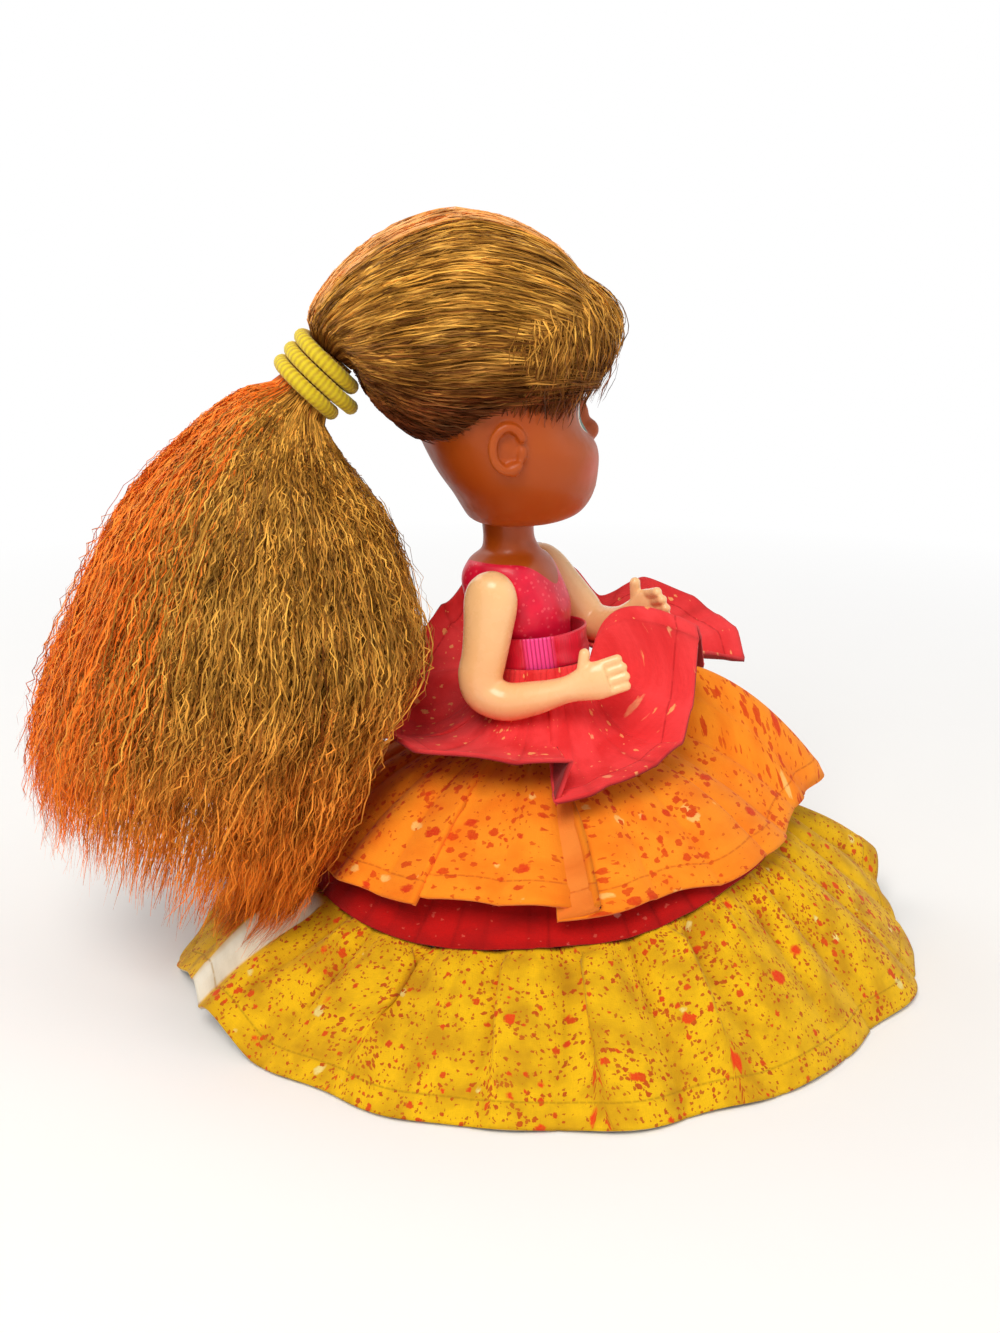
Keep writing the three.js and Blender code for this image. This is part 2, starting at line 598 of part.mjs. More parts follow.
// Ponytail: a bell of hair behind the skirt, cut clear of everything it passes when the head turns
function ponytailRings(layer, grow) {
  const rows = [
    [tiePoint(-TIE_HALF, BUNDLE_RADIUS), tiePoint(-TIE_HALF, -BUNDLE_RADIUS), BUNDLE_RADIUS],
    [tiePoint(TIE_HALF, BUNDLE_RADIUS), tiePoint(TIE_HALF, -BUNDLE_RADIUS), BUNDLE_RADIUS],
    [hairPoint(50, 25.4), hairPoint(34.5, 16.9), 8.5],
    [hairPoint(59.5, 18.4), hairPoint(31.5, 11.4), 15],
    [hairPoint(72, 5.4), hairPoint(25, 1.4), 23],
    [hairPoint(81, -11.6), hairPoint(21.5, -9.6), 29],
    [hairPoint(87.5, -26.6), hairPoint(20, -22.6), 33],
    [hairPoint(91.5, -42.6), hairPoint(25, -35.6), 34],
    [hairPoint(90, -55.6), hairPoint(31, -46.6), 31.5],
    [hairPoint(84, -66.6), hairPoint(38, -56.6), 26],
    [hairPoint(74, -74.6), hairPoint(50, -66.6), 16],
  ];
  const rings = rows.map(([outer, inner, halfWidth]) => {
    const depth = outer.clone().sub(inner);
    const shift = Math.min(layer, depth.length() * 0.3);
    depth.normalize();
    const back = outer.clone().addScaledVector(depth, -shift);
    const front = inner.clone().addScaledVector(depth, -grow);
    return spanRing(back, front, halfWidth + grow, 2);
  });
  const moved = (points, by) => points.map((point) => point.clone().add(by));
  if (grow > 0) {
    rings.unshift(moved(rings[0], TIE_ALONG.clone().multiplyScalar(-grow)));
    rings.push(moved(rings[rings.length - 1], vector(0, 0, -grow * 4)));
  }
  return rings;
}

function sweptSpace() {
  const beside = [
    // radius about the neck, height in the cloth tables
    [HEM_RADIUS + 5, -5],
    [HEM_RADIUS + 4, 0],
    [HEM_RADIUS - 6, 11],
    [SEAM_RADIUS + 8, 22],
    [SEAM_RADIUS + 8, 31],
    [SEAM_RADIUS - 3, 38],
    [SEAM_RADIUS - 7, 44],
    [SEAM_RADIUS - 9, 52],
    [SEAM_RADIUS - 15, 57],
    [HAIR_SWEEP_RADIUS + 3, 62],
    [HAIR_SWEEP_RADIUS, 68],
  ].map(([radius, z]) => [radius, tableHeight(z)]);
  const above = [
    [HAIR_SWEEP_RADIUS, HEAD_BASE + 12],
    [HAIR_SWEEP_RADIUS + 3, HEAD_BASE + 20],
    [0, HEAD_BASE + 20],
  ];
  const outline = [[0, beside[0][1]], ...beside, ...above].map(([radius, z]) => new THREE.Vector2(radius, z));
  return new THREE.LatheGeometry(outline, 48).rotateX(Math.PI / 2);
}

function ponytail() {
  const bell = solid(skin(ponytailRings(0, 0))).subtract(solid(facingOut(bareOf(sweptSpace()))));
  return {
    body: mainBody(bell.intersect(solid(skin(ponytailRings(STREAK_LAYER, 1))))),
    streak: mainBody(bell.subtract(solid(skin(ponytailRings(STREAK_LAYER - FIT, 1.2))))),
  };
}

// Elastic: one unbroken cord, wound round the bundle, with slack under one turn
function elasticPath() {
  const radius = BUNDLE_RADIUS + FIT + ELASTIC_CORD / 2 + 0.1;
  const turned = (share) => {
    const angle = share * ELASTIC_TURNS * Math.PI * 2;
    const under = Math.max(0, -Math.sin(angle)) ** 2;
    const slack = share > 1 / 3 && share < 2 / 3 ? ELASTIC_SLACK * under : 0;
    const along = (share * 2 - 1) * TIE_HALF;
    return tiePoint(along, Math.sin(angle) * (radius + slack)).setX(Math.cos(angle) * (radius + slack));
  };
  const steps = ELASTIC_TURNS * LOOP_STEPS;
  const points = Array.from({ length: steps + 1 }, (_, step) => turned(step / steps));
  const stretch = (end, next) => end.clone().addScaledVector(end.clone().sub(next).normalize(), ELASTIC_CORD);
  points.unshift(stretch(points[0], points[1]));
  points.push(stretch(points[points.length - 1], points[points.length - 2]));
  return points;
}

// The least free space between neighbouring turns, measured on the path's points.
function leastSpace(points, diameter) {
  let least = Infinity;
  points.forEach((point, i) => {
    points.slice(i + LOOP_STEPS / 2).forEach((other) => {
      least = Math.min(least, point.distanceTo(other));
    });
  });
  return least - diameter;
}

function elastic() {
  const points = elasticPath();
  console.log("least space between turns of the elastic, mm:", leastSpace(points, ELASTIC_CORD).toFixed(2));
  const corners = Array.from({ length: LOOP_SIDES }, (_, i) => {
    const angle = (i / LOOP_SIDES) * Math.PI * 2;
    return new THREE.Vector2(Math.cos(angle), Math.sin(angle)).multiplyScalar(ELASTIC_CORD / 2);
  });
  const path = new THREE.CatmullRomCurve3(points);
  const options = { steps: ELASTIC_TURNS * LOOP_STEPS, extrudePath: path, bevelEnabled: false };
  return facingOut(bareOf(new THREE.ExtrudeGeometry(new THREE.Shape(corners), options)));
}

// Cloth
const tableHeight = (z) => (z * WAIST_HEIGHT) / TABLE_WAIST;
const onSkirt = (turn, radius, z) => {
  const angle = turn * Math.PI * 2;
  return vector(SKIRT_X + radius * Math.cos(angle), SKIRT_Y + radius * Math.sin(angle), z);
};

// Values that change round the skirt, eased between rows; each row starts with its angle in degrees.
function roundTable(rows) {
  return (turn) => {
    const degrees = turn * 360;
    const next = rows.findIndex(([angle]) => angle > degrees);
    const upper = next < 0 ? [rows[0][0] + 360, ...rows[0].slice(1)] : rows[next];
    const lower = next < 0 ? rows[rows.length - 1] : rows[next - 1];
    const share = smoothstep(degrees, lower[0], upper[0]);
    return upper.slice(1).map((value, i) => lerp(lower[i + 1], value, share));
  };
}

// A profile through points of radius and height, from the waist outwards.
function profile(points) {
  return new THREE.CatmullRomCurve3(points.map(([radius, z]) => vector(radius, 0, tableHeight(z))));
}

// How far the seam between the base and the bottom flounce is raised round the skirt
const seamRise = roundTable([
  // angle, height
  [0, 0],
  [90, -4.5],
  [135, -5.2],
  [180, -2.5],
  [225, 2.5],
  [260, 3],
  [300, 2],
  [340, 0.5],
]);

function skirtBase() {
  const top = [BAND_RADIUS + CLOTH + FIT, BAND_FROM];
  const line = profile([top, [13, 47], [18, 42.5], [28, 36], [SEAM_RADIUS, SEAM_HEIGHT]]);
  return sheet((turn, fall) => {
    const [rise] = seamRise(turn);
    const point = line.getPoint(fall);
    return onSkirt(turn, point.x, point.z + rise * fall ** 4);
  }, 48, 4, CLOTH, true);
}

const bottomHem = roundTable([
  // angle, hem radius, hem height
  [0, HEM_RADIUS, 0],
  [60, HEM_RADIUS, 0],
  [104, HEM_RADIUS + 2, 0],
  [114, HEM_RADIUS + 3, 6],
  [124, HEM_RADIUS, 0],
  [180, HEM_RADIUS, 0],
  [225, HEM_RADIUS + 0.5, 0],
  [254, HEM_RADIUS + 5, 0],
  [266, HEM_RADIUS + 1, 5],
  [276, HEM_RADIUS + 3.5, 11],
  [288, HEM_RADIUS, 6],
  [302, HEM_RADIUS + 2, 0],
  [330, HEM_RADIUS, 0],
]);

function bottomFlounce() {
  const start = SEAM_RADIUS - 1;
  const top = tableHeight(SEAM_HEIGHT) - CLOTH - FIT - SEAM_DROP;
  return sheet((turn, fall) => {
    const [hemRadius, hemHeight] = bottomHem(turn);
    const [rise] = seamRise(turn);
    const angle = turn * Math.PI * 2;
    const fold = HEM_FOLD * fall * (Math.cos(12 * angle) + 0.7 * Math.cos(19 * angle + 2.1));
    const radius = lerp(start, hemRadius, fall ** 0.92) + fold * (1 - 0.3 * fall);
    const belly = HEM_BELLY * Math.sin(fall * Math.PI) * fall;
    const height = lerp(top + rise, hemHeight, fall) + belly;
    return onSkirt(turn, radius, fall === 1 ? hemHeight : height);
  }, 72, 5, CLOTH, true);
}

const middleHem = roundTable([
  // angle, hem radius, hem height, height of the puff above the hem
  [0, 47, 29, 0],
  [45, 46, 27, 0],
  [90, 46, 25, 0],
  [128, 47, 26.5, 0],
  [150, 46.5, 28.5, 0],
  [170, 46, 30, 0],
  [180, 48.5, 26.5, 0],
  [194, 46, 28.5, 0],
  [225, 47.5, 29, 0],
  [246, 49, 29, 0],
  [255, 49, 29.5, 2],
  [262, 52, 31, 9],
  [272, 59, 31, 13],
  [284, 54, 31, 13],
  [298, 49, 30, 7],
  [315, 48, 29, 0],
]);

function middleFlounce() {
  const hem = [MIDDLE_HEM_RADIUS, MIDDLE_HEM_HEIGHT];
  const line = profile([[13.6, 47.6], [18, 45.2], [26, 42.8], [36, 37.6], hem]);
  return sheet((turn, fall) => {
    const [hemRadius, hemHeight, puff] = middleHem(turn);
    const point = line.getPoint(fall);
    const reach = fall ** 2;
    const angle = turn * Math.PI * 2;
    const fold = MIDDLE_FOLD * reach * Math.cos(15 * angle + 0.8);
    const radius = point.x + (hemRadius - MIDDLE_HEM_RADIUS) * reach + fold;
    const lift = puff * Math.max(Math.sin(fall * Math.PI), 0) ** 0.7;
    return onSkirt(turn, radius, point.z + tableHeight((hemHeight - MIDDLE_HEM_HEIGHT) * reach + lift));
  }, 72, 5, CLOTH, true);
}

const topFlounceTable = roundTable([
  // angle, hem radius, hem height, belly radius, belly height
  [0, 24.5, 77, 24.5, 60],
  [18, 24.5, 74, 24.5, 60],
  [38, 26, 66, 25, 59],
  [62, 30, 54, 17, 54],
  [90, 32, 48, 15, 43],
  [124, 34.5, 50, 13, 42],
  [150, 33, 50.5, 13, 42],
  [172, 33, 50, 13.5, 42.5],
  [178, 35.5, 44, 15, 43],
  [190, 33.5, 46, 15, 43],
  [222, 32, 49, 15, 43],
  [228, 32, 55, 13, 58],
  [234, 31.5, 67, 12, 74],
  [240, 30, 68.5, 12, 77],
  [245, 30.5, 66, 12, 72],
  [251, 31, 59.5, 13, 63],
  [264, 27.5, 59, 15, 60.5],
  [274, 27.5, 59, 16, 60],
  [279, 36, 57, 18, 58],
  [284, 46, 54, 20, 58],
  [288, 45.5, 59.5, 20, 58],
  [293, 44, 61.5, 21, 57],
  [300, 41.5, 65, 22, 57],
  [312, 36, 68.5, 24, 58],
  [325, 30, 65, 24, 58],
  [337, 26.5, 72, 24.5, 60],
  [350, 24.5, 77, 24.5, 60],
]);

function topFlounce() {
  const startRadius = BAND_RADIUS + CLOTH + FIT;
  const bend = (from, through, to, share) =>
    from * (1 - share) ** 2 + 2 * through * share * (1 - share) + to * share ** 2;
  return sheet((turn, fall) => {
    const [hemRadius, hemHeight, bellyRadius, bellyHeight] = topFlounceTable(turn);
    const startHeight = TOP_START - SASH_RISE * Math.sin(turn * Math.PI * 2 - BODY_TURN);
    const radius = bend(startRadius, bellyRadius, hemRadius, fall);
    return onSkirt(turn, radius, tableHeight(bend(startHeight, bellyHeight, hemHeight, fall)));
  }, 84, 6, CLOTH, true);
}

// A band round the waist; rise lifts its front and lowers its back, lean sets its top edge back.
function waistRing(radius, middleY, from, to, rise, lean) {
  return sheet((turn, fall) => {
    const angle = turn * Math.PI * 2;
    const z = lerp(to, from, fall) - rise * Math.sin(angle);
    return vector(radius * Math.cos(angle), middleY + lerp(lean, 0, fall) + radius * Math.sin(angle), z);
  }, 36, 1, CLOTH, true);
}

function sash() {
  const middle = WAIST_HEIGHT + 1.7;
  return waistRing(SASH_RADIUS, SASH_Y, middle - SASH_WIDTH / 2, middle + SASH_WIDTH / 2, SASH_RISE, SASH_LEAN);
}

const waistband = () => waistRing(BAND_RADIUS, HIP_Y, tableHeight(BAND_FROM), tableHeight(BAND_TO), 0, 0);

// Colours and the assembly
const finish = (color, roughness) => new THREE.MeshStandardMaterial({ color, roughness, metalness: 0 });
const doll = new THREE.Group();
doll.name = "doll";

function place(name, shape, material, group) {
  const geometry = shape.isBufferGeometry ? shape : geometryOf(shape);
  geometry.computeVertexNormals();
  const mesh = new THREE.Mesh(geometry, material);
  mesh.name = name;
  group.add(mesh);
}

function subgroup(name, turn) {
  const group = new THREE.Group();
  group.name = name;
  group.rotation.z = turn;
  doll.add(group);
  return group;
}

const SKIN = ["#eda987", 0.3];
const VINYL = ["#c58d66", 0.5];
const TOP_PAINT = ["#b02a58", 0.45];
const BROWN_HAIR = ["#7c5a34", 0.6];
const CORAL_HAIR = ["#e0683c", 0.6];

const body = subgroup("body", BODY_TURN);
const [torsoFront, torsoBack] = torsoHalves();
place("torso_front", torsoFront, finish(...TOP_PAINT), body);
place("torso_back", torsoBack, finish(...TOP_PAINT), body);

const armRight = subgroup("right_arm", BODY_TURN);
place("arm_right", mirrored(geometryOf(bentArm())), finish(...SKIN), armRight);
const armLeft = subgroup("left_arm", BODY_TURN);
place("arm_left", raisedArm(), finish(...SKIN), armLeft);

const legRight = subgroup("right_leg", BODY_TURN);
place("leg_right", mirrored(geometryOf(leg())), finish(...SKIN), legRight);
place("shoe_right", mirrored(geometryOf(shoe())), finish("#b3264f", 0.4), legRight);
const legLeft = subgroup("left_leg", BODY_TURN);
place("leg_left", leg(), finish(...SKIN), legLeft);
place("shoe_left", shoe(), finish("#b3264f", 0.4), legLeft);

const headGroup = subgroup("head", 0);
const hair = hairOnHead();
const tail = ponytail();
place("head_shell", headShell(), finish(...VINYL), headGroup);
place("hair_sides", hair.sides, finish(...BROWN_HAIR), headGroup);
place("hair_streak", hair.streak, finish(...CORAL_HAIR), headGroup);
place("fringe", fringe(), finish(...BROWN_HAIR), headGroup);
place("ponytail_body", tail.body, finish(...BROWN_HAIR), headGroup);
place("ponytail_streak", tail.streak, finish(...CORAL_HAIR), headGroup);
place("hair_elastic", elastic(), finish("#f2cf1c", 0.7), headGroup);

const waist = subgroup("waist", BODY_TURN);
place("waist_sash", sash(), finish("#c8304e", 0.35), waist);
place("waistband", waistband(), finish("#8c1f2c", 0.8), waist);

const clothes = subgroup("clothes", 0);
place("skirt_base", skirtBase(), finish("#8c1f2c", 0.8), clothes);
place("flounce_bottom", bottomFlounce(), finish("#f0b93c", 0.8), clothes);
place("flounce_middle", middleFlounce(), finish("#ee7a2c", 0.8), clothes);
place("flounce_top", topFlounce(), finish("#dd4b55", 0.8), clothes);

// The middle of the footprint becomes the origin.
const middle = new THREE.Box3().setFromObject(doll).getCenter(vector(0, 0, 0));
doll.position.set(-middle.x, -middle.y, 0);
console.log("neck axis at, mm:", doll.position.x.toFixed(3), doll.position.y.toFixed(3));

const root = new THREE.Group();
root.name = "fashion_doll";
root.add(doll);
export default root;
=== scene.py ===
"""Looks of a fashion doll with a crimped ponytail and a skirt of gathered tiers."""

import json
import math

import bpy
import numpy as np
from bpy.props import FloatProperty, FloatVectorProperty, IntProperty, PointerProperty
from bpy.types import Operator, Panel, PropertyGroup
from mathutils import Matrix, Vector


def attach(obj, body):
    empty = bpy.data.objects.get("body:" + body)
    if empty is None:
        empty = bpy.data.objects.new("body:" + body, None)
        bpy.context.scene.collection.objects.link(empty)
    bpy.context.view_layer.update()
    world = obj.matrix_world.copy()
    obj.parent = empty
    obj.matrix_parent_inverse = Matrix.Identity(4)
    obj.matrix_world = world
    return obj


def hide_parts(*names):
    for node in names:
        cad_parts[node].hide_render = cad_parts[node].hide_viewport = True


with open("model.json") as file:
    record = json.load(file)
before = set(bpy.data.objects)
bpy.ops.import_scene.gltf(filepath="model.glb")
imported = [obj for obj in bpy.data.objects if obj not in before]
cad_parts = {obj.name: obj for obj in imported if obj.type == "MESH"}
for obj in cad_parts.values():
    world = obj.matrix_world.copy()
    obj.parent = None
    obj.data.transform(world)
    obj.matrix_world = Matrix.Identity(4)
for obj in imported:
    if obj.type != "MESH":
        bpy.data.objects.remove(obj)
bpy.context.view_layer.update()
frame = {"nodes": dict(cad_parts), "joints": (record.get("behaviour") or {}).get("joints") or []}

bl_info = {
    "name": "Fashion doll",
    "version": (1, 0, 0),
    "blender": (4, 5, 0),
    "location": "View3D > Sidebar > Doll",
    "description": "Hair, clothes, vinyl and studio of a fashion doll",
    "category": "Add Mesh",
}

# Lengths are in millimetres round the neck's axis, with the floor at zero and the face towards -Y
MM = 0.001
HEAD_JOINT = next(joint for joint in frame["joints"] if joint["name"] == "head_turn")
NECK = np.array([HEAD_JOINT["pos_m"][0], HEAD_JOINT["pos_m"][1], 0.0])
HEAD_BASE = HEAD_JOINT["pos_m"][2] / MM
BODY_TURN = math.radians(-32)
HIP_Y = -6.0
SKIRT_X = -HIP_Y * math.sin(BODY_TURN)
SKIRT_Y = HIP_Y * math.cos(BODY_TURN)
SHOULDER = np.array([0.0, -0.8, 74.0])
ARM_X = 13.4
SEAM_RADIUS = 46.0
SEAM_HEIGHT = 24.0
HEM_RADIUS = 70.0
SKIRT_STEPS = 480
SASH_RISE = 1.0
SASH_LENGTH = 62.0

# The tied bundle of hair: its middle and the two directions of its axis and its upper side
TIE = np.array([0.0, 36.5, HEAD_BASE + 27.9])
TIE_TILT = math.radians(50)
TIE_ALONG = np.array([0.0, math.cos(TIE_TILT), -math.sin(TIE_TILT)])
TIE_UP = np.array([0.0, math.sin(TIE_TILT), math.cos(TIE_TILT)])
TIE_HALF = 4.425
BUNDLE_RADIUS = 4.6

# Photograph's viewpoint, from the neck's axis
CAMERA_PLACE = (-0.2982, 0.0553, 0.150)
CAMERA_TURN = math.radians(10)
CAMERA_PITCH = math.radians(17)
CAMERA_LENS = 43.9


# Numbers and curves


def smooth(share):
    """Eases a share between 0 and 1."""
    share = np.clip(share, 0.0, 1.0)
    return share * share * (3.0 - 2.0 * share)


def between(low, high, share):
    return low + (high - low) * share


def unit(vectors):
    """Vectors at length one."""
    length = np.linalg.norm(vectors, axis=-1, keepdims=True)
    return vectors / np.maximum(length, 1e-9)


def tie_point(along, up):
    return TIE + TIE_ALONG * along + TIE_UP * up


def hair_point(y, height):
    return np.array([0.0, y, HEAD_BASE + height])


def curve(points, share):
    """Points at shares from 0 to 1 of a smooth curve through rows of numbers, each span an equal share."""
    points = np.asarray(points, float)
    padded = np.vstack([2 * points[0] - points[1], points, 2 * points[-1] - points[-2]])
    spans = len(points) - 1
    place = np.clip(np.asarray(share, float), 0.0, 1.0) * spans
    span = np.minimum(place.astype(int), spans - 1)
    t = (place - span)[..., None]
    a, b, c, d = (padded[span + step] for step in range(4))
    pairs = ((b, a), (c, b), (d, c))
    gap = [np.maximum(np.linalg.norm(p - q, axis=-1, keepdims=True), 1e-6) ** 0.5 for p, q in pairs]
    start = (b - a) / gap[0] - (c - a) / (gap[0] + gap[1]) + (c - b) / gap[1]
    end = (c - b) / gap[1] - (d - b) / (gap[1] + gap[2]) + (d - c) / gap[2]
    start, end = start * gap[1], end * gap[1]
    cubic = 2 * b - 2 * c + start + end
    square = -3 * b + 3 * c - 2 * start - end
    return ((cubic * t + square) * t + start) * t + b


def round_table(rows):
    """A function that eases between rows, each an angle in degrees and its values, all the way round."""
    table = np.array(rows, float)
    angles = np.append(table[:, 0], table[0, 0] + 360.0)
    values = np.vstack([table[:, 1:], table[:1, 1:]])

    def at(turn):
        degrees = np.mod(turn, 1.0) * 360.0
        row = np.clip(np.searchsorted(angles, degrees, side="right") - 1, 0, len(table) - 1)
        share = smooth((degrees - angles[row]) / (angles[row + 1] - angles[row]))
        return [between(column[row], column[row + 1], share) for column in values.T]

    return at


def squared(angle, squareness):
    """Cosine and sine of a ring that is squarer than a circle."""
    power = 2.0 / squareness
    across, depth = np.cos(angle), np.sin(angle)
    return np.sign(across) * np.abs(across) ** power, np.sign(depth) * np.abs(depth) ** power


def capped(rise, cap):
    """Shares along a form's rows and of its width, where each end's cap takes a share of the rise."""
    along = np.clip((rise - cap) / (1 - 2 * cap), 0.0, 1.0)
    close = np.clip(np.minimum(rise, 1 - rise) / cap, 0.0, 1.0)
    return along, close


# Meshes


def mesh_piece(name, points, faces):
    """A new smooth piece, at the origin, from points in millimetres and lists of vertex numbers."""
    mesh = bpy.data.meshes.new(name)
    mesh.from_pydata((points * MM + NECK).tolist(), [], faces)
    mesh.polygons.foreach_set("use_smooth", np.ones(len(faces), bool))
    mesh.update()
    piece = bpy.data.objects.new(name, mesh)
    bpy.context.scene.collection.objects.link(piece)
    return piece


def add_uv(piece, name, corners):
    layer = piece.data.uv_layers.new(name=name)
    layer.data.foreach_set("uv", np.asarray(corners, np.float32).ravel())


def add_values(piece, name, values):
    """A number at each point of a piece, for its material."""
    attribute = piece.data.attributes.new(name, "FLOAT", "POINT")
    attribute.data.foreach_set("value", np.asarray(values, np.float32).ravel())


def add_colours(piece, name, colours):
    attribute = piece.data.attributes.new(name, "FLOAT_COLOR", "POINT")
    full = np.ones((len(colours), 4), np.float32)
    full[:, :3] = colours
    attribute.data.foreach_set("color", full.ravel())


def finish_piece(piece, material, body, slot, *nodes):
    """Gives a piece its material, the body that it rides on and the nodes that it stands for."""
    piece.data.materials.clear()
    piece.data.materials.append(material)
    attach(piece, body)
    if nodes:
        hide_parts(*nodes)
    return piece


def only(piece):
    """Makes one piece the selected and active one."""
    bpy.ops.object.select_all(action="DESELECT")
    piece.select_set(True)
    bpy.context.view_layer.objects.active = piece


def turn_with_body(piece):
    """Turns a piece that was made facing as the head does to face as the body does."""
    neck = Matrix.Translation(Vector(NECK))
    piece.data.transform(neck @ Matrix.Rotation(BODY_TURN, 4, "Z") @ neck.inverted())
    piece.data.update()


def shaped_ball(name, place, around=64, along=48):
    """A ball whose points are moved to place(turn, rise), from its lower pole at rise 0 to its upper at 1."""
    bpy.ops.object.select_all(action="DESELECT")
    bpy.ops.mesh.primitive_uv_sphere_add(segments=around, ring_count=along, radius=1.0)
    ball = bpy.context.active_object
    ball.name = name
    ball.data.name = name
    points = np.zeros(len(ball.data.vertices) * 3)
    ball.data.vertices.foreach_get("co", points)
    points = points.reshape(-1, 3)
    turn = np.mod(np.arctan2(points[:, 1], points[:, 0]), 2 * math.pi)
    rise = 1.0 - np.arccos(np.clip(points[:, 2], -1.0, 1.0)) / math.pi
    placed = place(turn, rise) * MM + NECK
    ball.data.vertices.foreach_set("co", placed.ravel())
    ball.data.update()
    return ball


def egg(name, radii, centre, around=32, along=20):
    radii, centre = np.array(radii, float), np.array(centre, float)

    def place(turn, rise):
        lift = (rise - 0.5) * math.pi
        level = np.cos(lift)
        return centre + radii * np.stack([np.cos(turn) * level, np.sin(turn) * level, np.sin(lift)], -1)

    return shaped_ball(name, place, around, along)


def capsule(name, radius, start, end):
    """A rod with round ends between two points."""
    start, end = np.array(start, float), np.array(end, float)
    heading = unit(end - start)
    side = unit(np.cross(heading, (0.31, 0.2, 0.93)))
    other = np.cross(heading, side)

    def place(turn, rise):
        lift = (rise - 0.5) * math.pi
        level = radius * np.cos(lift)
        middle = np.where((rise > 0.5)[:, None], end, start)
        ring = np.cos(turn)[:, None] * side + np.sin(turn)[:, None] * other
        return middle + ring * level[:, None] + heading * (radius * np.sin(lift))[:, None]

    return shaped_ball(name, place, 20, 15)


def fuse(pieces, voxel, smoothing):
    """Joins closed pieces into one even skin, with voxels in millimetres."""
    only(pieces[0])
    for piece in pieces[1:]:
        piece.select_set(True)
    if len(pieces) > 1:
        bpy.ops.object.join()
    whole = pieces[0]
    remesh = whole.modifiers.new("one_skin", "REMESH")
    remesh.mode = "VOXEL"
    remesh.voxel_size = voxel * MM
    bpy.ops.object.modifier_apply(modifier=remesh.name)
    relax = whole.modifiers.new("relax", "SMOOTH")
    relax.factor = 0.5
    relax.iterations = smoothing
    bpy.ops.object.modifier_apply(modifier=relax.name)
    bpy.ops.object.shade_smooth()
    return whole


# Materials


def linear(colour):
    """A written colour as the linear values that a shader takes."""
    values = [part / 12.92 if part <= 0.04045 else ((part + 0.055) / 1.055) ** 2.4 for part in colour]
    return (*values, 1.0)


class Finish:
    """A material whose nodes are added and linked in one call each."""

    def __init__(self, name, **values):
        self.material = bpy.data.materials.new(name)
        self.material.use_nodes = True
        self.tree = self.material.node_tree
        self.shader = self.tree.nodes["Principled BSDF"]
        named = {key.replace("_", " ").title().replace("Ior", "IOR"): value for key, value in values.items()}
        self.feed(self.shader, named)

    def feed(self, node, values):
        for key, value in values.items():
            if isinstance(value, bpy.types.NodeSocket):
                self.tree.links.new(value, node.inputs[key])
            else:
                node.inputs[key].default_value = value

    def add(self, kind, values=None, **settings):
        node = self.tree.nodes.new("ShaderNode" + kind)
        for key, value in settings.items():
            setattr(node, key, value)
        self.feed(node, values or {})
        return node

    def math(self, operation, first, second=0.0, third=0.0, clamp=False):
        node = self.add("Math", {0: first, 1: second, 2: third}, operation=operation, use_clamp=clamp)
        return node.outputs[0]

    def vector(self, operation, first, second=(0, 0, 0), third=(0, 0, 0)):
        return self.add("VectorMath", {0: first, 1: second, 2: third}, operation=operation).outputs

    def mix(self, share, first, second):
        node = self.add("Mix", {0: share, 6: first, 7: second}, data_type="RGBA")
        return node.outputs[2]

    def noise(self, place, scale, detail=2.0, dimensions="3D"):
        values = {"Vector": place, "Scale": scale, "Detail": detail}
        return self.add("TexNoise", values, noise_dimensions=dimensions).outputs

    def stretch(self, value, low, high):
        """A value from low to high as a share from 0 to 1."""
        node = self.add("MapRange", {"Value": value, "From Min": low, "From Max": high})
        return node.outputs[0]

    def bump(self, height, strength, distance):
        node = self.add("Bump", {"Height": height, "Strength": strength, "Distance": distance * MM})
        self.feed(self.shader, {"Normal": node.outputs[0]})

    def object_place(self):
        return self.add("TexCoord").outputs["Object"]

    def value(self, name):
        return self.add("Attribute", attribute_name=name).outputs["Fac"]


# Stitches to a metre of hem, how much of a colour painted shade leaves in a fold's valley, and how far a
# spot's edge wanders, in metres
STITCHES = 780.0
CREASE_SHADE = (0.55, 0.42, 0.35)
RAGGED_EDGE = (0.0009, 0.0009, 0.0)


def spots(finish, place, cell, keep, gain, clusters):
    """A mask of round spots, at most one to a cell in millimetres; keep sets how many cells stay bare."""
    cells = finish.add("TexVoronoi", {"Vector": place, "Scale": 1.0 / (cell * MM)}, voronoi_dimensions="2D")
    chance = finish.add("SeparateColor", {0: cells.outputs["Color"]}).outputs[0]
    chance = finish.math("MULTIPLY_ADD", clusters, 0.5, chance)
    radius = finish.math("MULTIPLY_ADD", chance, gain, -(keep + 0.25) * gain)
    inside = finish.math("SUBTRACT", radius, cells.outputs["Distance"])
    return finish.math("MULTIPLY", inside, 14.0, clamp=True)


